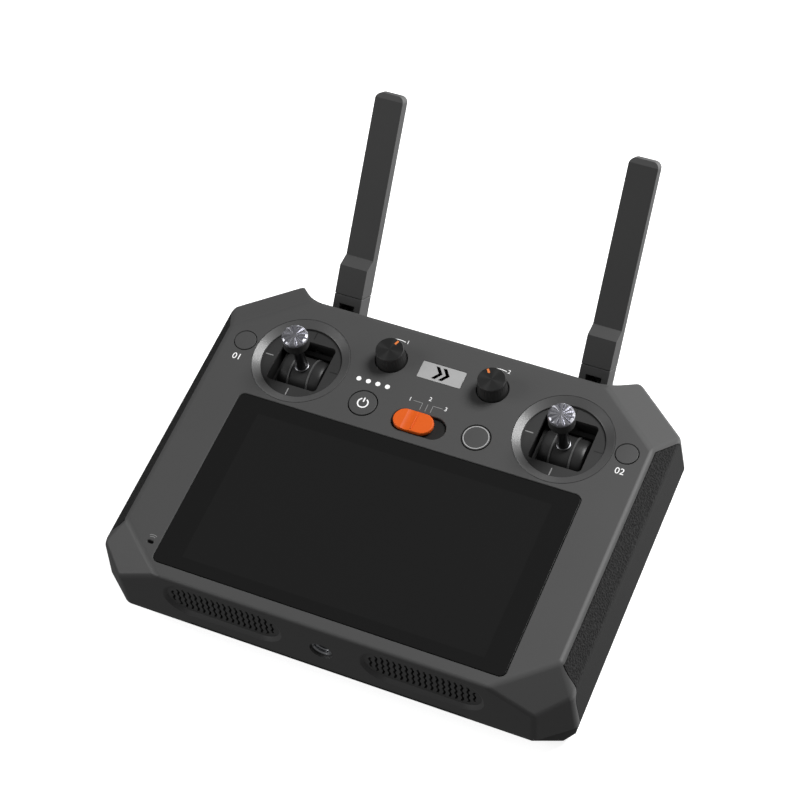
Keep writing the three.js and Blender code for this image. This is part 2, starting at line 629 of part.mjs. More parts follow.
place("front_shell", frontShell(), 0x4a4a4c, 0.55);
place("back_shell", backShell(), 0x2b2b2d, 0.6);
place("battery_cover",
  plate(roundedRectangle(batteryCover.width, batteryCover.y1 - batteryCover.y0, batteryCover.corner), 0,
    (batteryCover.y0 + batteryCover.y1) / 2, [backZ, backZ + batteryCover.thickness]), 0x2b2b2d, 0.6);
place("cover_glass",
  plate(roundedRectangle(glass.width, glass.y1 - glass.y0, glass.corner), 0, glassY,
    [glassTop - glass.thickness, glassTop]), 0x141416, 0.08);
place("display_panel",
  block([-display.width / 2, display.width / 2], [display.y0, display.y1],
    [glassTop - glass.thickness - gap - display.thickness, glassTop - glass.thickness - gap]), 0x101012, 0.4);
place("main_board", mainBoard(), 0x1f4a33, 0.5);
place("control_board", controlBoard(), 0x1f4a33, 0.5);
place("radio_module", block([-22, 22], [28, 54], [17.3, 22.5]), 0x9a9ca0, 0.35, 0.9);
place("heat_sink", heatSink(), 0xa0a2a6, 0.4, 1);
place("battery_pack", plate(roundedRectangle(84, 60, 3), 0, -12, [5, 21]), 0x2c3f66, 0.5);
place("mode_slider", modeSlider(), 0xf0641e, 0.45);
place("mode_switch", modeSwitch(), 0x303032, 0.5);
place("power_button", button(power, 0.1), 0x4a4a4c, 0.5);
place("record_button", button(record, 0.1), 0x4a4a4c, 0.5);
place("led_light_pipe", ledLightPipe(), 0xf4f6f8, 0.3);
place("badge_plate",
  plate(roundedRectangle(badge.width, badge.height, 0.4), badge.x, badge.y, [faceZ - badge.thickness, faceZ]),
  0xb8babd, 0.35, 0.8);
place("tripod_insert", tripodInsert(), 0xa8aaae, 0.3, 1);
place("usb_socket", usbSocket(), 0xa8aaae, 0.3, 1);
place("rest_pad", plate(roundedRectangle(64, 40, 6), 0, 0, padBottom), 0x1c1c1e, 0.85);

for (const [side, hand] of [[-1, "left"], [1, "right"]]) {
  place("grip_" + hand, grip(side), 0x262628, 0.8);
  place("gimbal_ring_" + hand, gimbalRing(side), 0x55565a, 0.35, 0.3);
  place("gimbal_case_" + hand, gimbalCase(side), 0x202022, 0.6);
  place("gimbal_yoke_" + hand, gimbalYoke(side), 0x303032, 0.5);
  place("gimbal_drum_" + hand, gimbalDrum(side), 0x2a2a2c, 0.35);
  place("stick_shaft_" + hand, stickShaft(side), 0x55575a, 0.3, 0.9);
  place("stick_cap_" + hand, stickCap(side), 0x6a6c70, 0.3, 0.9);
  place("knob_" + hand, knobBody(side), 0x29292b, 0.35);
  place("knob_potentiometer_" + hand, knobPotentiometer(side), 0x8d8f92, 0.4, 0.8);
  place("custom_button_" + hand, button({ ...custom, x: side * custom.x }, 0.1), 0x4a4a4c, 0.5);
  place("speaker_grille_" + hand, speakerGrille(side), 0x242426, 0.7);
  place("speaker_driver_" + hand, speakerDriver(side), 0x1a1a1c, 0.7);
  place("coax_lead_" + hand, coaxLead(side), 0x17181a, 0.5);
  place("hinge_bracket_" + hand, hingeBracket(side), 0x343436, 0.5);
  place("foot_" + hand, plate(roundedRectangle(12, 70, 5.9), side * 66, 0, padBottom), 0x1c1c1e, 0.85);

  const antennaGroup = new THREE.Group();
  antennaGroup.position.set(side * antenna.x, antenna.pivotY, antenna.pivotZ);
  antennaGroup.rotation.x = -THREE.MathUtils.degToRad(90 - antenna.tilt);
  root.add(antennaGroup);
  place("antenna_knuckle_" + hand, antennaKnuckle(), 0x3c3c3e, 0.55, 0, antennaGroup);
  place("antenna_blade_" + hand, antennaBlade(), 0x3c3c3e, 0.55, 0, antennaGroup);
  place("hinge_pin_" + hand, hingePin(), 0x9a9ca0, 0.3, 1, antennaGroup);

  screwPlaces.forEach(([x, y], index) => {
    place("case_screw_" + hand + "_" + (index + 1), caseScrew(side * x, y), 0x77797c, 0.35, 1);
  });
}

export default root;
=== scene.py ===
# Looks of a handheld radio controller with a built-in screen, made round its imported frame.
# Pieces are modelled in millimetres, and each finished mesh is scaled to metres.
import math

import bmesh
import bpy
from mathutils import Matrix, Vector


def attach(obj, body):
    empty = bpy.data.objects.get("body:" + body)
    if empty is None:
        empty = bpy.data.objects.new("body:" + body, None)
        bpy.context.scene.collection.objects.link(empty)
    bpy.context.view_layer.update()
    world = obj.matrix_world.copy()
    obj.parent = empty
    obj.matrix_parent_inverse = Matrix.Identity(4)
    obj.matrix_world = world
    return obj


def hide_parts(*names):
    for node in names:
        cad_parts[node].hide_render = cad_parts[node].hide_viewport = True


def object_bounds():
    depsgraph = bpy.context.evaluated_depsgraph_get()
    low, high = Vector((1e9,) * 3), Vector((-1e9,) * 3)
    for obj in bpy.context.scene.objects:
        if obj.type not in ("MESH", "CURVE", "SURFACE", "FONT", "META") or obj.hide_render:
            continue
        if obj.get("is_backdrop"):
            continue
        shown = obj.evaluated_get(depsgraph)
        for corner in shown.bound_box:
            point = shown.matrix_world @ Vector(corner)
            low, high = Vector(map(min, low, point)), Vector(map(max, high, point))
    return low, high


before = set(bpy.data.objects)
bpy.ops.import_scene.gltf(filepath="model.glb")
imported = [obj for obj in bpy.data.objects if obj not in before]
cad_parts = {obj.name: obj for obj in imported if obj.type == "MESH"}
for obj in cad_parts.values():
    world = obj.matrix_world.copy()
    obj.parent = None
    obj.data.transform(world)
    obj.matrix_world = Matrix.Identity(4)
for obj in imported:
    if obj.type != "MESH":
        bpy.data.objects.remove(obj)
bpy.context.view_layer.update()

millimetre = 0.001
hands = {"left": -1, "right": 1}
mainBody = "controller_body"
collection = bpy.context.scene.collection
print("stage: frame loaded")


# Materials


class Wire:
    # An output socket that can stand in a sum.
    def __init__(self, finish, socket):
        self.finish = finish
        self.socket = socket

    def __add__(self, other):
        return self.finish.sum("ADD", self, other)

    __radd__ = __add__

    def __mul__(self, other):
        return self.finish.sum("MULTIPLY", self, other)

    __rmul__ = __mul__

    def __sub__(self, other):
        return self.finish.sum("SUBTRACT", self, other)

    def __rsub__(self, other):
        return self.finish.sum("SUBTRACT", other, self)


class Nodes:
    def __init__(self, tree, coordinates):
        self.tree = tree
        self.place = self.add("ShaderNodeTexCoord", output=coordinates)

    def add(self, kind, settings=None, inputs=None, output=0):
        node = self.tree.nodes.new(kind)
        for key, value in (settings or {}).items():
            setattr(node, key, value)
        for key, value in (inputs or {}).items():
            self.feed(node.inputs[key], value)
        return Wire(self, node.outputs[output])

    def feed(self, socket, value):
        if isinstance(value, Wire):
            self.tree.links.new(value.socket, socket)
        else:
            socket.default_value = value

    def sum(self, operation, first, second=0.0):
        return self.add("ShaderNodeMath", {"operation": operation}, {0: first, 1: second})

    def mix(self, factor, first, second):
        return self.add("ShaderNodeMix", {"data_type": "RGBA"}, {0: factor, 6: first, 7: second}, 2)

    def axes(self, place=None):
        split = self.add("ShaderNodeSeparateXYZ", inputs={0: place or self.place})
        node = split.socket.node
        return [Wire(self, node.outputs[index]) for index in range(3)]

    def noise(self, sizeMm, detail=2.0, place=None, roughness=0.5):
        values = {"Vector": place or self.place, "Scale": 1000 / sizeMm, "Detail": detail,
                  "Roughness": roughness}
        return self.add("ShaderNodeTexNoise", {}, values, 0)

    def band(self, value, low, high):
        # Rises from 0 at low to 1 at high.
        settings = {"interpolation_type": "SMOOTHSTEP"}
        return self.add("ShaderNodeMapRange", settings, {0: value, 1: low, 2: high}, 0)

    def bump(self, height, depthMm, strength=1.0):
        values = {"Height": height, "Distance": depthMm * millimetre, "Strength": strength}
        return self.add("ShaderNodeBump", {}, values, 0)


class Finish(Nodes):
    def __init__(self, name, **sockets):
        self.material = bpy.data.materials.new(name)
        self.material.use_nodes = True
        super().__init__(self.material.node_tree, "Object")
        self.shader = self.tree.nodes["Principled BSDF"]
        for socket, value in sockets.items():
            self.set(socket.replace("_", " "), value)

    def set(self, socket, value):
        self.feed(self.shader.inputs[socket], value)


def grey(level, warm=0.0):
    return (level * (1 + warm), level, level * (1 - warm), 1)


def speckled(name, level, roughness, grainMm=0.3, grainDepth=0.012, spread=0.1, warm=0.0, specular=0.5,
             **more):
    # Moulded plastic or rubber: fine grain, a slow drift of tone and of gloss.
    finish = Finish(name, Specular_IOR_Level=specular, **more)
    drift = finish.noise(38, 3.0)
    fine = finish.noise(grainMm, 3.0, roughness=0.6)
    tone = drift * 0.6 + fine * 0.4
    colour = finish.mix(tone, grey(level * (1 - spread), warm), grey(level * (1 + spread), warm))
    finish.set("Base Color", colour)
    finish.set("Roughness", roughness - 0.05 + drift * 0.06 + fine * 0.04)
    finish.set("Normal", finish.bump(fine, grainDepth, 0.6))
    return finish


def turnedMetal(name, colour, roughness, ringMm=0.16, metallic=1.0, **more):
    # Machined or plated metal, with a fine noise for the tool marks.
    finish = Finish(name, Metallic=metallic, **more)
    marks = finish.noise(ringMm, 2.0)
    drift = finish.noise(4, 2.0)
    dark = tuple(channel * 0.82 for channel in colour[:3]) + (1,)
    finish.set("Base Color", finish.mix(marks * 0.5 + drift * 0.5, dark, colour))
    finish.set("Roughness", roughness - 0.05 + marks * 0.1)
    finish.set("Normal", finish.bump(marks, 0.006, 0.4))
    return finish


casingFinish = speckled("casing satin plastic", 0.068, 0.5, 0.28, 0.01, 0.05)
undersideFinish = speckled("underside textured plastic", 0.026, 0.62, 0.55, 0.03, 0.12)
antennaFinish = speckled("antenna satin plastic", 0.066, 0.46, 0.3, 0.01, 0.06)
gimbalFinish = speckled("gimbal black plastic", 0.016, 0.5, 0.3, 0.01, 0.1)
plateFinish = speckled("gimbal plate plastic", 0.03, 0.45, 0.3, 0.01, 0.08)
padFinish = speckled("pad rubber", 0.011, 0.75, 0.5, 0.03, 0.15)
speakerFinish = speckled("speaker cloth black", 0.012, 0.7, 0.35, 0.03, 0.2)
boardFinish = speckled("circuit board", 0.03, 0.5, 0.6, 0.02, 0.3)
wrapFinish = speckled("battery wrap", 0.03, 0.35, 2.0, 0.01, 0.1, warm=-0.3)
leadFinish = speckled("lead sleeve", 0.01, 0.5, 0.4, 0.01, 0.1)
steelFinish = turnedMetal("bright steel", (0.55, 0.56, 0.58, 1), 0.3)
shieldFinish = turnedMetal("tinned shield", (0.5, 0.5, 0.52, 1), 0.4, 0.4)
sinkFinish = turnedMetal("anodised sink", (0.35, 0.36, 0.38, 1), 0.45, 0.4)
shaftFinish = turnedMetal("stick shaft metal", (0.2, 0.2, 0.21, 1), 0.3)
glowingLensAndPrintFinish = speckled("white lens and print with painted glow", 0.82, 0.4, 0.3, 0.004, 0.03)
# The emission is a painted glow: it lifts the white print, which is no lamp, and the lamp lenses to full
# white.
glowingLensAndPrintFinish.set("Emission Color", grey(1.0))
glowingLensAndPrintFinish.set("Emission Strength", 0.35)
darkPrintFinish = speckled("dark print", 0.004, 0.5, 0.3, 0.004, 0.1)
dimPrintFinish = speckled("grey print", 0.3, 0.5, 0.3, 0.004, 0.05)


def gripRubber():
    # Coarse pebbled grain on the chamfer above the ridge, nearly smooth on the wall below it.
    finish = Finish("grip rubber", Specular_IOR_Level=0.14)
    z = finish.axes()[2]
    upper = finish.band(z, 0.0335, 0.0352)
    pebble = finish.add("ShaderNodeTexVoronoi", {"feature": "F1"},
                        {"Vector": finish.place, "Scale": 1000 / 0.85}, 0)
    fine = finish.noise(0.35, 3.0)
    tone = finish.mix(pebble * 0.9 + fine * 0.3, grey(0.003), grey(0.03))
    plain = finish.mix(fine, grey(0.006), grey(0.009))
    finish.set("Base Color", finish.mix(upper, plain, tone))
    finish.set("Roughness", 0.5 + upper * 0.12 + fine * 0.05)
    height = pebble * upper * 1.2 + fine * 0.15
    finish.set("Normal", finish.bump(height, 0.3, 0.9))
    return finish


gripFinish = gripRubber()


def screenGlass(active):
    # Black printed glass; the display shows through the middle as a slightly lighter field.
    finish = Finish("screen glass", Specular_IOR_Level=0.16)
    x, y = finish.axes()[:2]
    x0, x1, y0, y1 = [edge * millimetre for edge in active]
    soft = 0.0002
    inside = (finish.band(x, x0, x0 + soft) * finish.band(x, x1 + soft, x1)
              * finish.band(y, y0, y0 + soft) * finish.band(y, y1 + soft, y1))
    smear = finish.noise(55, 2.0)
    finish.set("Base Color", finish.mix(inside, grey(0.012), grey(0.0145)))
    finish.set("Roughness", 0.2 + smear * 0.06)
    finish.set("Normal", finish.bump(smear, 0.01, 0.1))
    return finish


glassFinish = screenGlass((-60.7, 61.4, -57.1, 10.6))


def ringLacquer():
    finish = Finish("gimbal ring lacquer", Specular_IOR_Level=0.6, Coat_Weight=0.35, Coat_Roughness=0.2)
    fine = finish.noise(0.2, 2.0)
    finish.set("Base Color", finish.mix(fine, grey(0.075), grey(0.085)))
    finish.set("Roughness", 0.4 + fine * 0.06)
    finish.set("Normal", finish.bump(fine, 0.004, 0.3))
    return finish


ringFinish = ringLacquer()


def sliderOrange():
    finish = Finish("slider orange", Specular_IOR_Level=0.3)
    fine = finish.noise(0.3, 2.0)
    drift = finish.noise(9, 2.0)
    finish.set("Base Color",
               finish.mix(fine * 0.5 + drift * 0.5, (0.76, 0.11, 0.008, 1), (0.86, 0.14, 0.014, 1)))
    finish.set("Roughness", 0.42 + fine * 0.06)
    finish.set("Normal", finish.bump(fine, 0.006, 0.4))
    return finish


orangeFinish = sliderOrange()


def orangePaint():
    finish = Finish("pointer paint")
    fine = finish.noise(0.2, 2.0)
    finish.set("Base Color", finish.mix(fine, (0.8, 0.2, 0.04, 1), (0.9, 0.25, 0.05, 1)))
    finish.set("Roughness", 0.5 + fine * 0.05)
    return finish


pointerFinish = orangePaint()


def badgeMetal():
    finish = Finish("badge metal", Metallic=0.35)
    brushed = finish.add("ShaderNodeMapping", {}, {"Vector": finish.place, "Scale": (1.0, 14.0, 1.0)}, 0)
    lines = finish.noise(1.6, 3.0, brushed)
    drift = finish.noise(7, 2.0)
    finish.set("Base Color", finish.mix(lines * 0.5 + drift * 0.5, grey(0.5), grey(0.62)))
    finish.set("Roughness", 0.36 + lines * 0.12)
    finish.set("Normal", finish.bump(lines, 0.004, 0.3))
    return finish


badgeFinish = badgeMetal()


def spunTopPaintedSheen(name, centre, level, crown):
    # Dark anodised metal. Above the crown height fine rings run round the centre, and a soft cross of their
    # sheen is painted into the colour as a painted highlight: lighter arms on the top.
    finish = Finish(name)
    spot = tuple(value * millimetre for value in centre)
    local = finish.add("ShaderNodeVectorMath", {"operation": "SUBTRACT"}, {0: finish.place, 1: spot + (0.0,)},
                       0)
    x, y, z = finish.axes(local)
    radius = finish.sum("SQRT", x * x + y * y)
    rings = finish.sum("SINE", radius * (2 * math.pi / 0.00022)) * 0.5 + 0.5
    angle = finish.sum("ARCTAN2", y, x)
    # cross: the arms of the painted sheen highlight, lighter colour on the top.
    cross = finish.sum("COSINE", angle * 4.0 + 0.6) * 0.5 + 0.5
    cross = cross * cross * cross
    top = finish.band(z, (crown - 0.1) * millimetre, (crown - 0.02) * millimetre)
    fine = finish.noise(0.2, 2.0)
    tone = finish.mix(top, grey(level * 1.7), finish.mix(cross, grey(level), grey(level * 2.3)))
    finish.set("Metallic", top * 0.5)
    finish.set("Base Color", finish.mix(fine * 0.3, tone, grey(level * 0.7)))
    finish.set("Roughness", 0.42 + rings * 0.08 - top * cross * 0.08)
    finish.set("Normal", finish.bump(rings * top + fine * 0.3, 0.006, 0.5))
    return finish


def capMetal():
    finish = Finish("stick cap metal")
    fine = finish.noise(0.25, 3.0)
    z = finish.axes()[2]
    crown = finish.band(z, 0.0576, 0.0580)
    colour = finish.mix(crown, grey(0.034), (0.5, 0.5, 0.54, 1))
    finish.set("Base Color", finish.mix(fine * 0.15, colour, grey(0.1)))
    finish.set("Metallic", 0.2 + crown * 0.75)
    finish.set("Roughness", 0.42 - crown * 0.12 + fine * 0.04)
    finish.set("Normal", finish.bump(fine, 0.006, 0.4))
    return finish


capFinish = capMetal()


def drumPlasticPaintedRibHighlight(name, middle, rib):
    # Black barrel whose two ribs are glossier, with a lighter line painted along each rib edge as a painted
    # highlight.
    finish = Finish(name)
    fine = finish.noise(0.3, 2.0)
    x = finish.axes()[0]
    offset = finish.sum("ABSOLUTE", finish.sum("ABSOLUTE", x - middle * millimetre) - rib * millimetre)
    # edge: mask of the painted highlight line along each rib.
    edge = finish.band(offset, 0.0005, 0.0002)
    finish.set("Base Color", finish.mix(edge, finish.mix(fine, grey(0.02), grey(0.026)), grey(0.22)))
    finish.set("Roughness", 0.4 - edge * 0.16 + fine * 0.05)
    finish.set("Metallic", edge * 0.6)
    finish.set("Normal", finish.bump(fine, 0.008, 0.4))
    return finish


print("stage: materials made")


# Shaping helpers, in millimetres


def shapeFrom(bm, keepFacing=False):
    if not keepFacing:
        bmesh.ops.recalc_face_normals(bm, faces=bm.faces)
    mesh = bpy.data.meshes.new("shape")
    bm.to_mesh(mesh)
    bm.free()
    made = bpy.data.objects.new("shape", mesh)
    collection.objects.link(made)
    return made


def settle(shape):
    # Turns the modifiers into mesh.
    bpy.context.view_layer.update()
    graph = bpy.context.evaluated_depsgraph_get()
    made = bpy.data.meshes.new_from_object(shape.evaluated_get(graph))
    shape.modifiers.clear()
    shape.data = made
    return shape


def carve(body, *tools, operation="DIFFERENCE"):
    for tool in tools:
        modifier = body.modifiers.new("carve", "BOOLEAN")
        modifier.operation, modifier.solver, modifier.object = operation, "EXACT", tool
    settle(body)
    for tool in tools:
        bpy.data.objects.remove(tool)
    return body


def gather(*shapes):
    # Separate closed shapes as one object, for one cut.
    bm = bmesh.new()
    for shape in shapes:
        bm.from_mesh(shape.data)
        bpy.data.objects.remove(shape)
    return shapeFrom(bm, True)


def soften(shape, width, segments=3, angle=28):
    modifier = shape.modifiers.new("soft edge", "BEVEL")
    modifier.width, modifier.segments, modifier.profile = width, segments, 0.5
    modifier.limit_method, modifier.angle_limit = "ANGLE", math.radians(angle)
    modifier.offset_type = "OFFSET"
    modifier.use_clamp_overlap = True
    return settle(shape)


def roundedOutline(width, height, radius, steps=6, x=0.0, y=0.0):
    points = []
    corners = ((1, -1, -90), (1, 1, 0), (-1, 1, 90), (-1, -1, 180))
    for sideX, sideY, start in corners:
        for step in range(steps + 1):
            turn = math.radians(start + 90 * step / steps)
            px = sideX * (width / 2 - radius) + radius * math.cos(turn)
            py = sideY * (height / 2 - radius) + radius * math.sin(turn)
            if not points or math.dist(points[-1], (px + x, py + y)) > 1e-3:
                points.append((px + x, py + y))
    if math.dist(points[0], points[-1]) < 1e-3:
        points.pop()
    return points


def stadiumOutline(length, width, steps=12, x=0.0, y=0.0):
    return roundedOutline(length, width, min(length, width) / 2, steps, x, y)


def prism(outline, low, high):
    # A plan outline extruded upwards.
    bm = bmesh.new()
    face = bm.faces.new([bm.verts.new((x, y, low)) for x, y in outline])
    raised = bmesh.ops.extrude_face_region(bm, geom=[face])["geom"]
    verts = [item for item in raised if isinstance(item, bmesh.types.BMVert)]
    bmesh.ops.translate(bm, vec=(0, 0, high - low), verts=verts)
    return shapeFrom(bm)


def standing(outline, front, back, x=0.0, z=0.0):
    # An outline in X and Z extruded from front to back along Y.
    shape = prism(outline, -back, -front)
    shape.data.transform(Matrix.Translation((x, 0, z)) @ Matrix.Rotation(math.radians(90), 4, "X"))
    return shape


def box(low, high):
    bm = bmesh.new()
    bmesh.ops.create_cube(bm, size=1)
    size = [b - a for a, b in zip(low, high)]
    bmesh.ops.scale(bm, vec=size, verts=bm.verts)
    bmesh.ops.translate(bm, vec=[(a + b) / 2 for a, b in zip(low, high)], verts=bm.verts)
    return shapeFrom(bm)


def lathe(profile, x=0.0, y=0.0, steps=64):
    # Turned about a vertical axis from a list of (radius, height).
    bm = bmesh.new()
    verts = [bm.verts.new((radius, 0, height)) for radius, height in profile]
    edges = [bm.edges.new(pair) for pair in zip(verts, verts[1:])]
    bmesh.ops.spin(bm, geom=verts + edges, cent=(0, 0, 0), axis=(0, 0, 1), dvec=(0, 0, 0),
                   angle=2 * math.pi, steps=steps, use_merge=True)
    bmesh.ops.remove_doubles(bm, verts=bm.verts, dist=1e-4)
    bmesh.ops.translate(bm, vec=(x, y, 0), verts=bm.verts)
    return shapeFrom(bm)


def hullOf(points, flat=3.0):
    bm = bmesh.new()
    verts = [bm.verts.new(point) for point in points]
    made = bmesh.ops.convex_hull(bm, input=verts)
    loose = list({item for key in ("geom_interior", "geom_unused") for item in made[key]
                  if isinstance(item, bmesh.types.BMVert)})
    bmesh.ops.delete(bm, geom=loose, context="VERTS")
    bmesh.ops.dissolve_limit(bm, angle_limit=math.radians(flat), verts=bm.verts, edges=bm.edges)
    return bm


def finishPiece(shape, name, body, finish, stands=(), sharp=34):
    shape.data.transform(Matrix.Scale(millimetre, 4))
    shape.data.polygons.foreach_set("use_smooth", [True] * len(shape.data.polygons))
    shape.data.set_sharp_from_angle(angle=math.radians(sharp))
    weighted = shape.modifiers.new("weighted normals", "WEIGHTED_NORMAL")
    weighted.keep_sharp = True
    settle(shape)
    shape.name = name
    shape.data.name = name
    shape.data.materials.clear()
    shape.data.materials.append(finish.material)
    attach(shape, body)
    if stands:
        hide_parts(*stands)
    return shape


def cadCopy(node, flat=2.0):
    # A CAD node's mesh in millimetres, with its triangles joined into flat faces.
    bm = bmesh.new()
    bm.from_mesh(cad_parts[node].data)
    bmesh.ops.scale(bm, vec=(1000, 1000, 1000), verts=bm.verts)
    bmesh.ops.remove_doubles(bm, verts=bm.verts, dist=2e-3)
    bmesh.ops.dissolve_limit(bm, angle_limit=math.radians(flat), verts=bm.verts, edges=bm.edges)
    return shapeFrom(bm)


def mirrorPoints(points):
    return [(x * side, y, z) for x, y, z in points for side in (1, -1)]


# Casing

casing = {
    "face": [(66, -68, 42), (88.3, -49.2, 42), (88.9, 45, 42), (62.5, 66.9, 42)],
    "ridge": [(84.4, -68.6, 31.6), (95.4, -57.7, 34.1), (95.5, 58.7, 34.2), (72.6, 77.4, 34.2)],
    "rim": [(83.7, -69.65, 13.5), (96.8, -59.1, 13.5), (96.9, 59.2, 13.5), (73.2, 78.4, 13.5)],
    "edge": 1.5,
    "edgeSegments": 6,
    "twist": 9.5,
    "recess": (62.6, 67.4, 4.5),
    "holeLip": 0.22,
}
faceZ, rimZ = 42, 13.5
gap = 0.3


def casingSolid(inset=(0, 0, 0), soft=0.0, below=0.0):
    points = []
    for row in ("face", "ridge", "rim"):
        for x, y, z in casing[row]:
            lowered = z - below if z == rimZ else z - inset[2]
            points.append((x - inset[0], y - math.copysign(inset[1], y), lowered))
    # The corner facets are slightly twisted; joined into one face each, they shade without a crease.
    bm = hullOf(mirrorPoints(points), casing["twist"])
    if soft:
        crisp = [edge for edge in bm.edges if edge.calc_face_angle(0) > math.radians(14)
                 and max(vert.co.z for vert in edge.verts) > rimZ + 1]
        bmesh.ops.bevel(bm, geom=crisp, offset=soft, offset_type="OFFSET", segments=casing["edgeSegments"],
                        profile=0.5, affect="EDGES", clamp_overlap=True, material=-1)
    return shapeFrom(bm)


def recessTool(grow=0.0, low=-5.0):
    halfX, nearY, rounding = casing["recess"]
    ear = casing["ridge"][3]
    near, far = nearY - grow, nearY + 20
    slope = (ear[0] - halfX) / (ear[1] - nearY)
    right = [(halfX + grow + (far - near) * slope, far)]
    corner = (halfX + grow, near)
    start = (corner[0] + rounding * slope, near + rounding)
    end = (corner[0] - rounding, near)
    for step in range(13):
        t = step / 12
        weights = ((1 - t) ** 2, 2 * t * (1 - t), t ** 2)
        right.append(tuple(sum(w * p[axis] for w, p in zip(weights, (start, corner, end)))
                           for axis in (0, 1)))
    outline = right + [(-x, y) for x, y in reversed(right)]
    return prism(outline, low, faceZ + 5)


def hole(x, y, radius, floor=faceZ - 8, steps=64, lip=None):
    # A round cutter whose top flares, so the hole gets a broken edge.
    lip = casing["holeLip"] if lip is None else lip
    profile = [(0, floor), (radius, floor), (radius, faceZ - lip), (radius + lip, faceZ),
               (radius + lip, faceZ + 4),
               (0, faceZ + 4)]
    return lathe(profile, x, y, steps)


def flaredSlot(outlineOf, floor, lip=None):
    # The same for any outline: outlineOf(grow) gives its points.
    lip = casing["holeLip"] if lip is None else lip
    bm = bmesh.new()
    rings = []
    for grow, z in ((0, floor), (0, faceZ - lip), (lip, faceZ), (lip, faceZ + 4)):
        verts = [bm.verts.new((x, y, z)) for x, y in outlineOf(grow)]
        rings.append([bm.edges.new((verts[i - 1], verts[i])) for i in range(len(verts))])
    for lower, upper in zip(rings, rings[1:]):
        bmesh.ops.bridge_loops(bm, edges=lower + upper)
    bmesh.ops.holes_fill(bm, edges=rings[0] + rings[-1], sides=0)
    return shapeFrom(bm)


def gripOutline(grow, bottom, steps=8):
    # Side view of a grip, as y and z.
    def curve(points):
        count = len(points) - 1
        made = []
        for step in range(1, steps + 1):
            t = step / steps
            made.append(tuple(sum(math.comb(count, i) * t ** i * (1 - t) ** (count - i) * p[axis]
                                  for i, p in enumerate(points)) for axis in (0, 1)))
        return made

    g = grow
    outline = [(-49.6 - g, 40.7 + g)]
    outline += curve([outline[-1], (-52.6 - g, 38), (-52.2 - g, 35.4), (-54.6 - g, 32.6)])
    outline += curve([outline[-1], (-55.8 - g, 31), (-56.2 - g, 29), (-56.2 - g, 26)])
    outline += [(-56.2 - g, bottom), (57.8 + g, bottom), (56.6 + g, 32)]
    outline += curve([outline[-1], (56.6 + g, 33.8), (55, 34.8 + g)])
    outline += [(45.4, 40.7 + g)]
    return outline


def gripPrism(side, grow, bottom):
    shape = prism(gripOutline(grow, bottom), 84, 104)
    # The extrusion's own x, y and z become the piece's y, z and x.
    turn = Matrix(((0, 0, 1, 0), (1, 0, 0, 0), (0, 1, 0, 0), (0, 0, 0, 1)))
    if side < 0:
        turn = Matrix.Scale(-1, 4, (1, 0, 0)) @ turn
    shape.data.transform(turn)
    if side < 0:
        shape.data.flip_normals()
    return shape


def wallY(z):
    # The front wall leans out towards the rim.
    return -68 - 1.65 * (faceZ - z) / (faceZ - rimZ)


screen = {"width": 142, "low": -62, "high": 17.5, "thickness": 1.2, "corner": 2.4, "top": 41.9,
          "displayWidth": 126, "displayLow": -58.2, "displayHigh": 12.7}
gimbal = {"x": 55.2, "y": 39, "ringOuter": 19.7, "plate": 39.75, "pivot": 28.6}
dial = {"x": 21.4, "y": 51.3, "hole": 6.4, "radius": 6.0, "top": 48.8, "turn": {"left": -21, "right": 38}}
keys = {
    "power": {"x": -23.8, "y": 28.7, "radius": 5.5, "seam": 0.45},
    "record": {"x": 23.7, "y": 28.5, "radius": 5.45, "seam": 0.42},
    "customLeft": {"x": -80.2, "y": 40.65, "radius": 4.35, "seam": 0.32},
    "customRight": {"x": 80.2, "y": 40.65, "radius": 4.35, "seam": 0.32},
}
slider = {"x": 0.4, "y": 26.9, "length": 22.4, "width": 10, "capX": -1.6, "capLength": 16.4, "capWidth": 9.2,
          "top": 43.3, "hollow": {"x": -1.9, "radius": 6.0, "depth": 0.32}}
lamps = {"x": -23.8, "y": 38.8, "pitch": 4.05, "count": 4, "radius": 1.0}
badge = {"x": 0.1, "y": 51.05, "width": 18.2, "height": 7.8, "thickness": 0.6}
mic = {"x": -74.9, "y": -55.2, "length": 2.6, "width": 1.3}
speaker = {"x": 40.6, "z": 30.1, "length": 46.2, "height": 16.4, "depth": 0.9, "bevel": 3.4}
tripod = {"z": 27.2, "hole": 4.65, "bore": 3.175, "depth": 9}
socket = {"z": 26, "width": 9.2, "height": 3.5}


def speakerTool(side):
    # A straight hole for the grille, and a dished bevel round it.
    x = side * speaker["x"]
    edge = wallY(speaker["z"])
    bm = bmesh.new()
    rings = []
    for grow, depth in ((2 * gap, 14.0), (2 * gap, speaker["depth"]), (speaker["bevel"] * 0.55, 0.42),
                        (speaker["bevel"], 0.0), (speaker["bevel"] + 0.6, -1.2)):
        outline = stadiumOutline(speaker["length"] + grow, speaker["height"] + grow, 14)
        verts = []
        for px, pz in outline:
            face = edge if depth > 1 else wallY(speaker["z"] + pz)
            blend = min(max(depth / speaker["depth"], 0), 1)
            base = face * (1 - blend) + edge * blend
            verts.append(bm.verts.new((x + px, base + depth, speaker["z"] + pz)))
        rings.append([bm.edges.new((verts[i - 1], verts[i])) for i in range(len(verts))])
    for first, second in zip(rings, rings[1:]):
        bmesh.ops.bridge_loops(bm, edges=first + second)
    bmesh.ops.holes_fill(bm, edges=rings[0] + rings[-1], sides=0)
    return shapeFrom(bm)


def barAlongY(x, low, high, z, radius, steps=48):
    shape = lathe([(0, -high), (radius, -high), (radius, -low), (0, -low)], steps=steps)
    shape.data.transform(Matrix.Translation((x, 0, z)) @ Matrix.Rotation(math.radians(90), 4, "X"))
    return shape


shell = casingSolid(soft=casing["edge"])
carve(shell, recessTool())
cavity = carve(casingSolid((3.8, 2.6, 2.2), below=5), recessTool(2.6, -20))
carve(shell, cavity)
for side in hands.values():
    pocket = carve(gripPrism(side, gap, rimZ - 5), casingSolid((2.2, 0, 1.1), below=8))
    carve(shell, pocket)
print("stage: casing body")

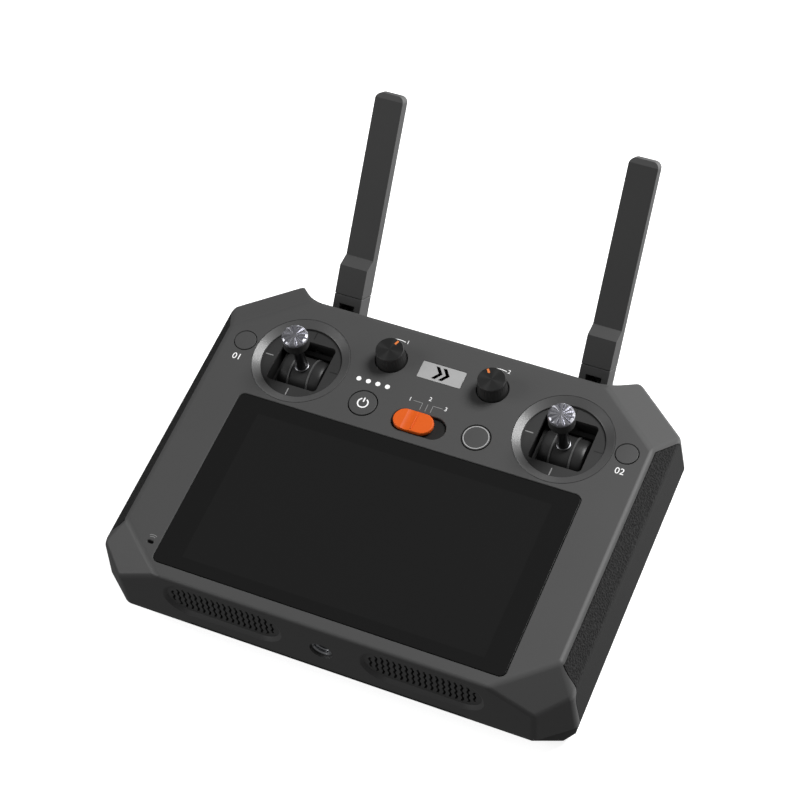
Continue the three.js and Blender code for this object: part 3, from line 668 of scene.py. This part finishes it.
glassMiddle = (screen["low"] + screen["high"]) / 2
glassHeight = screen["high"] - screen["low"]
pocketFloor = screen["top"] - screen["thickness"] - gap
carve(shell, flaredSlot(lambda grow: roundedOutline(screen["width"] + 2 * (gap + grow),
                                                    glassHeight + 2 * (gap + grow),
                                                    screen["corner"] + gap + grow, 6, 0, glassMiddle),
                        pocketFloor))
carve(shell, box((-screen["displayWidth"] / 2 - 1, screen["displayLow"] - 1, 30),
                 (screen["displayWidth"] / 2 + 1, screen["displayHigh"] + 1, 45)))
roundHoles = [hole(side * gimbal["x"], gimbal["y"], gimbal["ringOuter"] + 0.12, steps=96, lip=0.1)
              for side in (-1, 1)]
roundHoles += [hole(side * dial["x"], dial["y"], dial["hole"]) for side in (-1, 1)]
roundHoles += [hole(key["x"], key["y"], key["radius"] + key["seam"], lip=0.12) for key in keys.values()]
roundHoles += [hole(lamps["x"] + (index - 1.5) * lamps["pitch"], lamps["y"], lamps["radius"] + 0.08, steps=24,
                    lip=0.05)
               for index in range(lamps["count"])]
roundHoles.append(flaredSlot(lambda grow: stadiumOutline(slider["length"] + 2 * grow,
                                                         slider["width"] + 2 * grow, 16,
                                                         slider["x"], slider["y"]), faceZ - 8))
roundHoles.append(flaredSlot(lambda grow: stadiumOutline(mic["length"] + 2 * grow, mic["width"] + 2 * grow, 8,
                                                         mic["x"], mic["y"]), faceZ - 8))
roundHoles.append(flaredSlot(lambda grow: roundedOutline(badge["width"] + 2 * (0.15 + grow),
                                                         badge["height"] + 2 * (0.15 + grow),
                                                         0.5 + grow, 3, badge["x"], badge["y"]),
                             faceZ - badge["thickness"] - gap, 0.1))
carve(shell, gather(*roundHoles))
print("stage: face openings")
wallHoles = [speakerTool(side) for side in hands.values()]
wallHoles.append(barAlongY(0, -76, -60, tripod["z"], tripod["hole"]))
wallHoles.append(standing(stadiumOutline(socket["width"] + 2 * gap, socket["height"] + 2 * gap, 12), 58, 71,
                          0, socket["z"]))
wallHoles.append(box((-57, -76, rimZ - 5), (57, -60, rimZ + 1.3)))
carve(shell, gather(*wallHoles))
finishPiece(shell, "front_casing", mainBody, casingFinish, ["front_shell"], 30)
print("stage: front casing done")

# Grips

grips = {"thickness": 1.9, "edge": 0.45}
for hand, side in hands.items():
    shape = casingSolid(soft=casing["edge"])
    carve(shape, gripPrism(side, 0, rimZ - 1), operation="INTERSECT")
    carve(shape, casingSolid((grips["thickness"], 0, grips["thickness"] / 2), below=8))
    finishPiece(shape, f"side_grip_{hand}", mainBody, gripFinish, [f"grip_{hand}"], 40)
print("stage: grips")

# Underside

palm = {
    "corners": [(81.1, -66), (91.9, -62), (95.2, -57.6), (94.6, 52), (71, 71)],
    "height": 4.6, "floor": 1.5,
}


def trayBody(inset, floor, top):
    def ring(corners, moveX, moveY, z):
        return [(x - moveX - inset, y - math.copysign(moveY + inset, y), z) for x, y in corners]

    rim = [point[:2] for point in casing["rim"]]
    points = ring(rim, gap, gap, top) + ring(palm["corners"], 0, 0, palm["height"]) + ring(palm["corners"], 7,
                                                                                           7, floor)
    return shapeFrom(hullOf(mirrorPoints(points), 2.0))


cover = {"width": 92, "low": -46, "high": 22, "thickness": 1.6, "corner": 5}
screws = {"places": [(82, -42), (82, 24)], "post": 4.6, "postLow": 2.1, "postHigh": 12.2,
          "well": 3.0, "flare": 3.4, "seat": 10, "shankHole": 1.6}
vents = {"rows": 5, "length": 34, "width": 2, "start": 32, "pitch": 4.6}

tray = trayBody(0, palm["floor"], rimZ - gap)
carve(tray, recessTool())
carve(tray, carve(trayBody(2.2, palm["floor"] + 2.2, rimZ + 1), recessTool(2.2, -20)))
underCuts = []
for side in hands.values():
    for x, y in screws["places"]:
        low, high = screws["postLow"], screws["postHigh"]
        post = lathe([(0, low), (screws["post"], low), (screws["post"], high), (0, high)], side * x, y, 40)
        carve(tray, post, operation="UNION")
        well, seat, shank = screws["well"], screws["seat"], screws["shankHole"]
        underCuts.append(lathe([(0, -1), (screws["flare"], -1), (screws["flare"], palm["floor"] - 0.05),
                                (well, palm["floor"] + 0.4), (well, seat), (shank, seat), (shank, 14.5),
                                (0, 14.5)], side * x, y, 40))
coverMiddle = (cover["low"] + cover["high"]) / 2
coverHeight = cover["high"] - cover["low"]
underCuts.append(prism(roundedOutline(cover["width"] + 0.6, coverHeight + 0.6, cover["corner"] + gap, 8, 0,
                                      coverMiddle),
                       -1, palm["floor"] + cover["thickness"] + gap))
carve(tray, gather(*underCuts))
ventCuts = [prism(roundedOutline(cover["width"] - 6, coverHeight - 6, cover["corner"], 8, 0, coverMiddle), -1,
                  6)]
ventCuts += [prism(stadiumOutline(vents["length"], vents["width"], 8, 0,
                                  vents["start"] + row * vents["pitch"]), -1, 6)
             for row in range(vents["rows"])]
carve(tray, gather(*ventCuts))
finishPiece(tray, "rear_casing", mainBody, undersideFinish, ["back_shell"], 30)

shape = prism(roundedOutline(cover["width"], coverHeight, cover["corner"], 10, 0, coverMiddle), palm["floor"],
              palm["floor"] + cover["thickness"])
fingerNotch = prism(stadiumOutline(16, 5, 10, 0, cover["high"] - 4), palm["floor"] - 1, palm["floor"] + 0.7)
carve(shape, fingerNotch)
soften(shape, 0.3, 2)
finishPiece(shape, "battery_door", mainBody, undersideFinish, ["battery_cover"])
print("stage: underside")

# Screen

shape = prism(roundedOutline(screen["width"], glassHeight, screen["corner"], 10, 0, glassMiddle),
              screen["top"] - screen["thickness"], screen["top"])
soften(shape, 0.18, 2)
finishPiece(shape, "screen_cover", mainBody, glassFinish, ["cover_glass"])

# Gimbals and sticks

ring = {"slope": [(16.2, 40.05), (19.55, 40.05), (19.7, 40.2), (19.7, 41.9), (19.58, 42.0), (19.4, 41.96),
                  (16.45, 40.66), (16.28, 40.6), (16.2, 40.5), (16.2, 40.05)]}
stick = {"shaft": 1.7, "collar": 2.9, "cap": 5.2, "capLow": 53.1, "capHigh": 59.5, "teeth": 12}
drum = {"radius": 9.2, "length": 17.6, "rib": 4.1, "low": 0.4}
ticks = {"inner": 12.3, "outer": 15.6, "width": 0.42}


def printed(outline, z, thickness=0.02):
    return prism(outline, z - 0.005, z + thickness)


def barOutline(x0, y0, x1, y1, width):
    along = Vector((x1 - x0, y1 - y0)).normalized() * 0.5
    across = Vector((-along.y, along.x)) * width
    return [(x0 - across.x, y0 - across.y), (x1 - across.x, y1 - across.y), (x1 + across.x, y1 + across.y),
            (x0 + across.x, y0 + across.y)]


def arcOutline(x, y, radius, width, start, end, steps=24):
    outer = [(x + (radius + width / 2) * math.cos(math.radians(start + (end - start) * i / steps)),
              y + (radius + width / 2) * math.sin(math.radians(start + (end - start) * i / steps)))
             for i in range(steps + 1)]
    inner = [(x + (radius - width / 2) * math.cos(math.radians(start + (end - start) * i / steps)),
              y + (radius - width / 2) * math.sin(math.radians(start + (end - start) * i / steps)))
             for i in range(steps + 1)]
    return outer + inner[::-1]


for hand, side in hands.items():
    x, y = side * gimbal["x"], gimbal["y"]
    finishPiece(lathe(ring["slope"], x, y, 128), f"gimbal_trim_{hand}", mainBody, ringFinish,
                [f"gimbal_ring_{hand}"], 40)

    case = cadCopy(f"gimbal_case_{hand}")
    soften(case, 0.35, 2, 35)
    finishPiece(case, f"gimbal_housing_{hand}", mainBody, plateFinish,
                [f"gimbal_case_{hand}"])

    # Aiming ticks on the plate: light to the left and near, dark to the right and far.
    light = [printed(barOutline(x - ticks["inner"], y, x - ticks["outer"], y, ticks["width"]),
                     gimbal["plate"]),
             printed(barOutline(x, y - ticks["inner"], x, y - ticks["outer"], ticks["width"]),
                     gimbal["plate"])]
    finishPiece(gather(*light), f"gimbal_ticks_light_{hand}", mainBody, dimPrintFinish)
    dark = [printed(barOutline(x + ticks["inner"], y, x + ticks["outer"], y, ticks["width"]),
                    gimbal["plate"]),
            printed(barOutline(x, y + ticks["inner"], x, y + ticks["outer"], ticks["width"]),
                    gimbal["plate"])]
    finishPiece(gather(*dark), f"gimbal_ticks_dark_{hand}", mainBody, darkPrintFinish)

    # The drum lies along X: its profile is turned upright and then laid over.
    half, radius, rib = drum["length"] / 2, drum["radius"], drum["rib"]
    low = radius - drum["low"]
    profile = [(0, -half), (radius - 1.6, -half), (radius - 0.9, -half + 0.25), (low, -half + 1.4),
               (low, -rib - 0.5),
               (radius, -rib - 0.28), (radius, -rib + 0.28), (low, -rib + 0.5), (low, rib - 0.5),
               (radius, rib - 0.28),
               (radius, rib + 0.28), (low, rib + 0.5), (low, half - 1.4), (radius - 0.9, half - 0.25),
               (radius - 1.6, half), (0, half)]
    barrel = lathe(profile, steps=96)
    axle = lathe([(0, -half - 1.8), (2, -half - 1.8), (2, half + 1.8), (0, half + 1.8)], steps=32)
    carve(barrel, axle, operation="UNION")
    barrel.data.transform(Matrix.Translation((x, y, gimbal["pivot"])) @ Matrix.Rotation(math.radians(90), 4,
                                                                                        "Y"))
    carve(barrel, lathe([(0, 34.8), (2.0, 34.8), (2.0, 37.6), (2.5, 38.6), (0, 38.6)], x, y, 32))
    finishPiece(barrel, f"gimbal_ball_{hand}", f"stick_{hand}",
                drumPlasticPaintedRibHighlight(f"gimbal drum painted rib highlight {hand}", x, drum["rib"]), [f"gimbal_drum_{hand}"], 30)

    drumTop = gimbal["pivot"] + drum["radius"]
    shaft, collar = stick["shaft"], stick["collar"]
    profile = [(0, drumTop - 2.7), (shaft, drumTop - 2.7), (shaft, drumTop + 0.3), (2.75, drumTop + 0.3),
               (collar, drumTop + 0.45), (collar, drumTop + 0.6), (2.75, drumTop + 0.75),
               (2.5, drumTop + 0.8), (2.35, drumTop + 2.5),
               (2.05, drumTop + 8.0), (1.9, 53.6), (shaft, 54), (shaft, 56.5), (0, 56.5)]
    finishPiece(lathe(profile, x, y, 48), f"stick_stem_{hand}", f"stick_{hand}", shaftFinish,
                [f"stick_shaft_{hand}"], 40)

    # Cap with radial teeth cut into a bright crown.
    cap, capLow, capHigh = stick["cap"], stick["capLow"], stick["capHigh"]
    profile = [(0, capLow + 3.6), (2.1, capLow + 3.6), (2.1, capLow), (cap - 0.6, capLow),
               (cap - 0.18, capLow + 0.18),
               (cap, capLow + 0.6), (cap, capHigh - 1.9), (cap - 0.16, capHigh - 1.8),
               (cap - 0.16, capHigh - 1.6),
               (cap, capHigh - 1.5), (cap, capHigh - 0.9), (cap - 0.25, capHigh - 0.4), (cap - 0.9, capHigh),
               (0.9, capHigh - 0.05), (0.5, capHigh), (0, capHigh)]
    crown = lathe(profile, x, y, 72)
    teeth = []
    for index in range(stick["teeth"]):
        turn = index / stick["teeth"] * 2 * math.pi
        points = []
        grooveEnds = ((0.7, 0, -0.05), (0.8, 0, 1.0), (cap + 1, -0.2, 0.5), (cap + 1, 0.2, 0.5),
                      (cap + 1, 0.06, -1.25))
        for radius, spread, z in grooveEnds:
            points.append((x + radius * math.cos(turn + spread), y + radius * math.sin(turn + spread),
                           capHigh + z))
        teeth.append(shapeFrom(hullOf(points, 0.5)))
    for tooth in teeth:
        carve(crown, tooth)
    finishPiece(crown, f"stick_top_{hand}", f"stick_{hand}", capFinish, [f"stick_cap_{hand}"],
                25)
print("stage: gimbals and sticks")

# Dials

for hand, side in hands.items():
    x, y = side * dial["x"], dial["y"]
    radius, top = dial["radius"], dial["top"]
    profile = [(3.3, faceZ - 1.4), (radius - 0.2, faceZ - 1.4), (radius, faceZ - 1.2), (radius, faceZ + 0.3),
               (radius - 0.1, faceZ + 0.6), (radius - 0.42, top - 0.4), (radius - 0.45, top - 0.2),
               (radius - 0.62, top), (radius - 0.8, top - 0.02), (0, top - 0.02), (0, top - 2.4),
               (3.3, top - 2.4),
               (3.3, faceZ - 1.4)]
    knob = lathe(profile, x, y, 96)
    turn = Matrix.Translation((x, y, 0)) @ Matrix.Rotation(math.radians(dial["turn"][hand]), 4,
                                                           "Z") @ Matrix.Translation((-x, -y, 0))
    groove = box((x - 0.45, y + 3.1, top - 0.3), (x + 0.45, y + 5.1, top + 1))
    groove.data.transform(turn)
    carve(knob, groove)
    flutes = []
    for index in range(30):
        angle = index / 30 * 2 * math.pi
        reach = radius + 0.1
        flutes.append(lathe([(0, faceZ + 0.9), (0.26, faceZ + 0.9), (0.62, top - 0.9), (0, top - 0.9)],
                            x + reach * math.cos(angle), y + reach * math.sin(angle), 8))
    carve(knob, gather(*flutes))
    finishPiece(knob, f"dial_cap_{hand}", f"dial_{hand}",
                spunTopPaintedSheen(f"dial spun metal painted sheen {hand}", (x, y), 0.02, top), [f"knob_{hand}"], 25)
    paint = box((x - 0.44, y + 3.11, top - 0.31), (x + 0.44, y + 5.09, top - 0.06))
    paint.data.transform(turn)
    finishPiece(paint, f"dial_pointer_{hand}", f"dial_{hand}", pointerFinish)
print("stage: dials")

# Keys

keyShape = {"edge": 0.22, "rise": 0.1}


def keyBody(x, y, radius):
    top = faceZ + keyShape["rise"]
    edge = keyShape["edge"]
    profile = [(0, faceZ - 4.6), (radius + 0.7, faceZ - 4.6), (radius + 0.7, faceZ - 3.5),
               (radius, faceZ - 3.5),
               (radius, top - edge), (radius - edge * 0.3, top - edge * 0.3), (radius - edge, top), (0, top)]
    return lathe(profile, x, y, 96)


keyRows = [("power", "power_button", "power_key"), ("record", "record_button", "record_key"),
           ("customLeft", "custom_button_left", "custom_key_left"),
           ("customRight", "custom_button_right", "custom_key_right")]
for name, node, body in keyRows:
    key = keys[name]
    finishPiece(keyBody(key["x"], key["y"], key["radius"]), f"{body}_cap", body, casingFinish,
                [node], 30)

markTop = faceZ + keyShape["rise"]
key = keys["power"]
symbol = [printed(arcOutline(key["x"], key["y"], 2.05, 0.52, 118, 422, 40), markTop),
          printed(barOutline(key["x"], key["y"] + 0.5, key["x"], key["y"] + 2.5, 0.52), markTop)]
finishPiece(gather(*symbol), "power_symbol", "power_key", glowingLensAndPrintFinish)
key = keys["record"]
ringTop = [(4.75, markTop - 0.005), (5.12, markTop - 0.005), (5.12, markTop + 0.03), (4.75, markTop + 0.03),
           (4.75, markTop - 0.005)]
finishPiece(lathe(ringTop, key["x"], key["y"], 96), "record_ring", "record_key", badgeFinish)
print("stage: keys")

# Mode slider


def sliderShape():
    x, y, length, width = slider["capX"], slider["y"], slider["capLength"], slider["capWidth"]
    top = slider["top"]
    base = prism(stadiumOutline(length, width, 20, x, y), faceZ - 0.6, top)
    soften(base, 0.45, 4, 40)
    # A shallow thumb hollow to the left of the cross ridge.
    hollow = slider["hollow"]
    dip = lathe([(0, -7), (hollow["radius"], -7), (hollow["radius"], 7), (0, 7)], steps=72)
    dip.data.transform(Matrix.Translation((x + hollow["x"], y, top + hollow["radius"] - hollow["depth"]))
                       @ Matrix.Rotation(math.radians(90), 4, "X"))
    carve(base, dip)
    rib = box((x + 0.15, y - 3.7, faceZ + 0.4), (x + 0.65, y + 3.7, top + 0.35))
    soften(rib, 0.14, 3)
    carve(base, rib, operation="UNION")
    neck = box((x - 3, y - 2, faceZ - 5), (x + 3, y + 2, faceZ - 0.3))
    carve(base, neck, operation="UNION")
    return base


finishPiece(sliderShape(), "mode_slider_cap", "mode_lever", orangeFinish, ["mode_slider"], 35)

# Printed marks beside the controls


def digitShape(text, x, y, size):
    curve = bpy.data.curves.new("digit", "FONT")
    curve.body, curve.size, curve.align_x, curve.align_y = text, size, "CENTER", "CENTER"
    curve.extrude = 0.012
    temporary = bpy.data.objects.new("digit", curve)
    collection.objects.link(temporary)
    bpy.context.view_layer.update()
    mesh = bpy.data.meshes.new_from_object(temporary.evaluated_get(bpy.context.evaluated_depsgraph_get()))
    bpy.data.objects.remove(temporary)
    mesh.transform(Matrix.Translation((x, y, faceZ + 0.01)))
    made = bpy.data.objects.new("digit", mesh)
    collection.objects.link(made)
    return made


# These white marks carry the painted glow of the lens and print finish.
bright = [
    digitShape("01", keys["customLeft"]["x"], keys["customLeft"]["y"] - 8.2, 3.9),
    digitShape("02", keys["customRight"]["x"], keys["customRight"]["y"] - 8.2, 3.9),
    digitShape("1", -7.0, 36.5, 2.5), digitShape("2", 0.5, 38.9, 2.5), digitShape("3", 7.9, 36.5, 2.5),
]
for hand, side in hands.items():
    x, y = side * dial["x"], dial["y"]
    bright.append(printed(arcOutline(x - 0.4, y, 9.6, 0.3, 74, 104, 16), faceZ))
    bright.append(digitShape("1" if side < 0 else "2", x + 3.2, y + 9.4, 2.4))
finishPiece(gather(*bright), "face_print", mainBody, glowingLensAndPrintFinish)

dim = []
for x, turnX in ((-1.7, -5.6), (0.5, None), (2.7, 6.6)):
    dim.append(printed(barOutline(x, 33.1, x, 36.4, 0.22), faceZ))
    if turnX:
        dim.append(printed(barOutline(x, 36.3, turnX, 36.3, 0.22), faceZ))
dim += [printed(arcOutline(mic["x"], mic["y"], radius, 0.22, 60, 120, 10), faceZ) for radius in (2.2, 3.0)]
finishPiece(gather(*dim), "face_guides", mainBody, dimPrintFinish)

# Badge with a plain pair of chevrons

plateShape = prism(roundedOutline(badge["width"], badge["height"], 0.4, 4, badge["x"], badge["y"]),
                   faceZ - badge["thickness"], faceZ)
soften(plateShape, 0.08, 2)
finishPiece(plateShape, "badge", mainBody, badgeFinish, ["badge_plate"])
chevrons = []
for offset in (-1.5, 1.5):
    x, y = badge["x"] + offset, badge["y"]
    outline = [(-1.9, 2.9), (-0.3, 2.9), (1.9, 0), (-0.3, -2.9), (-1.9, -2.9), (0.3, 0)]
    chevrons.append(printed([(x + px, y + py) for px, py in outline], faceZ, 0.0))
finishPiece(gather(*chevrons), "badge_mark", mainBody, darkPrintFinish)
print("stage: marks and badge")

# Speakers

weave = {"columns": 18, "pitch": 2.42, "width": 0.95, "swing": 0.42, "lean": 0.05, "wave": 4.3}


def waveSlot(x, low, high):
    steps = 14
    middle = []
    for index in range(steps + 1):
        t = index / steps
        z = low + (high - low) * t
        phase = (z / weave["wave"]) % 1.0
        middle.append((x + weave["swing"] * (4 * abs(phase - 0.5) - 1) + weave["lean"] * z, z))
    half = weave["width"] / 2
    return [(px + half, pz) for px, pz in middle] + [(px - half, pz) for px, pz in reversed(middle)]


for hand, side in hands.items():
    front = wallY(speaker["z"]) + speaker["depth"]
    plateShape = standing(stadiumOutline(speaker["length"] + 0.56, speaker["height"] + 0.56, 16), front,
                          front + 1.6,
                          side * speaker["x"], speaker["z"])
    straight = (speaker["length"] - speaker["height"]) / 2
    slots = []
    for index in range(weave["columns"]):
        offset = (index - (weave["columns"] - 1) / 2) * weave["pitch"]
        over = max(0, abs(offset) - straight)
        reach = math.sqrt(6.9 ** 2 - min(over, 6.6) ** 2)
        slots.append(standing(waveSlot(0, -reach, reach), front - 1, front + 3, side * speaker["x"] + offset,
                              speaker["z"]))
    carve(plateShape, gather(*slots))
    finishPiece(plateShape, f"speaker_mesh_{hand}", mainBody, casingFinish,
                [f"speaker_grille_{hand}"])
print("stage: speakers")

# Tripod insert and antennas

insertFront = wallY(tripod["z"]) + 0.9
profile = [(tripod["bore"], 0.5), (tripod["bore"] + 0.45, 0), (4.15, 0), (4.35, 0.2), (4.35, 3.4), (7.4, 3.4),
           (7.4, tripod["depth"]), (tripod["bore"], tripod["depth"])]
for turnIndex in range(7):
    deep = tripod["depth"] - turnIndex * 1.15
    profile += [(tripod["bore"], deep - 0.2), (tripod["bore"] + 0.32, deep - 0.6),
                (tripod["bore"], deep - 1.0)]
profile.append(profile[0])
insert = lathe(profile, steps=64)
insert.data.transform(Matrix.Translation((0, insertFront, tripod["z"])) @ Matrix.Rotation(math.radians(-90),
                                                                                          4, "X"))
finishPiece(insert, "tripod_socket", mainBody, steelFinish, ["tripod_insert"], 30)

antennaShape = {"bladeEdge": 0.75, "knuckleEdge": 0.5}
for hand in hands:
    body = f"antenna_{hand}"
    blade = soften(cadCopy(f"antenna_blade_{hand}", 4.0), antennaShape["bladeEdge"], 4, 20)
    finishPiece(blade, f"antenna_paddle_{hand}", body, antennaFinish, [f"antenna_blade_{hand}"])
    root = soften(cadCopy(f"antenna_knuckle_{hand}"), antennaShape["knuckleEdge"], 3, 30)
    finishPiece(root, f"antenna_root_{hand}", body, antennaFinish, [f"antenna_knuckle_{hand}"])
    hinge = soften(cadCopy(f"hinge_bracket_{hand}"), 0.25, 2, 30)
    finishPiece(hinge, f"hinge_mount_{hand}", mainBody, antennaFinish, [f"hinge_bracket_{hand}"])

pads = {"rest_pad": 0.35, "foot_left": 0.35, "foot_right": 0.35}
for node, width in pads.items():
    finishPiece(soften(cadCopy(node), width, 3, 40), f"{node}_rubber", mainBody, padFinish, [node])
print("stage: antennas and pads")

# CAD pieces whose shape is already right get their finish here
plainFinishes = {
    "display_panel": glassFinish, "gimbal_yoke": gimbalFinish, "mode_switch": darkPrintFinish,
    "led_light_pipe": glowingLensAndPrintFinish,
    "main_board": boardFinish, "control_board": boardFinish, "radio_module": shieldFinish,
    "heat_sink": sinkFinish,
    "battery_pack": wrapFinish, "coax_lead": leadFinish, "knob_potentiometer": shieldFinish,
    "speaker_driver": speakerFinish,
    "usb_socket": steelFinish, "hinge_pin": steelFinish, "case_screw": steelFinish,
}
for node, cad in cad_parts.items():
    for start, finish in plainFinishes.items():
        if node.startswith(start):
            cad.data.materials.clear()
            cad.data.materials.append(finish.material)
print("stage: finishes on the carried-over pieces")

# Floor, lights and camera

stage = {"floor": 6.0, "floorTone": 0.9, "floorGlow": 0.8, "room": 0.13, "backdrop": 2.2}


def floorAndLights():
    bm = bmesh.new()
    bmesh.ops.create_grid(bm, x_segments=1, y_segments=1, size=stage["floor"] / 2)
    floor = shapeFrom(bm, True)
    floor.name = "studio_floor"
    floor.location.z = -0.0002
    paper = Finish("studio floor", Roughness=0.9, Specular_IOR_Level=0.1)
    fibre = paper.noise(600, 2.0)
    paper.set("Base Color", paper.mix(fibre, grey(stage["floorTone"]), grey(stage["floorTone"] * 1.02)))
    paper.set("Emission Color", grey(1.0))
    paper.set("Emission Strength", stage["floorGlow"])
    floor.data.materials.append(paper.material)
    floor.visible_diffuse = False
    floor.visible_glossy = False
    floor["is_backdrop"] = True

    world = bpy.context.scene.world or bpy.data.worlds.new("studio")
    bpy.context.scene.world = world
    world.use_nodes = True
    # A pale backdrop low behind the object and a dim room elsewhere.
    room = Nodes(world.node_tree, "Generated")
    x, y, z = room.axes()
    backdrop = room.band(x * 0.68 + y * 0.73, 0.25,
                         0.95) * room.band(z, 0.4, -0.05) * (room.band(z, -0.95, -0.45) * 0.7 + 0.3)
    background = world.node_tree.nodes["Background"]
    room.feed(background.inputs["Color"], room.mix(backdrop, grey(stage["room"]), grey(stage["backdrop"])))

    lights = [
        ("key", (0.74, 0.97, 1.43), 0.9, 30), ("fill", (-1.5, -0.55, 0.95), 1.2, 12.5),
    ]
    for name, place, size, power in lights:
        light = bpy.data.lights.new(name, "AREA")
        light.shape, light.size, light.energy = "DISK", size, power
        lamp = bpy.data.objects.new(name, light)
        collection.objects.link(lamp)
        lamp.location = place
        lamp.rotation_euler = (Vector((0, 0, 0.03)) - Vector(place)).to_track_quat("-Z", "Y").to_euler()


viewFrom = {"azimuth": 31.909, "elevation": 55.923, "roll": -10.568, "distance": 0.87089,
            "target": (-0.01062, 0.03473, 0.042), "fieldOfView": 20.15}


def makeCamera():
    azimuth, elevation, roll = (math.radians(viewFrom[key]) for key in ("azimuth", "elevation", "roll"))
    back = Vector((math.sin(azimuth) * math.cos(elevation), -math.cos(azimuth) * math.cos(elevation),
                   math.sin(elevation)))
    right = Vector((math.cos(azimuth), math.sin(azimuth), 0))
    up = back.cross(right)
    across = right * math.cos(roll) + up * math.sin(roll)
    above = up * math.cos(roll) - right * math.sin(roll)
    data = bpy.data.cameras.new("camera")
    data.sensor_width = 36
    data.lens = 18 / math.tan(math.radians(viewFrom["fieldOfView"] / 2))
    data.clip_start, data.clip_end = 0.05, 30
    camera = bpy.data.objects.new("camera", data)
    collection.objects.link(camera)
    place = Vector(viewFrom["target"]) + back * viewFrom["distance"]
    camera.matrix_world = Matrix.Translation(place) @ Matrix((across, above, back)).transposed().to_4x4()
    bpy.context.scene.camera = camera


floorAndLights()
makeCamera()
bpy.context.scene.view_settings.view_transform = "Standard"
print("stage: floor, lights and camera")

low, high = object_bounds()
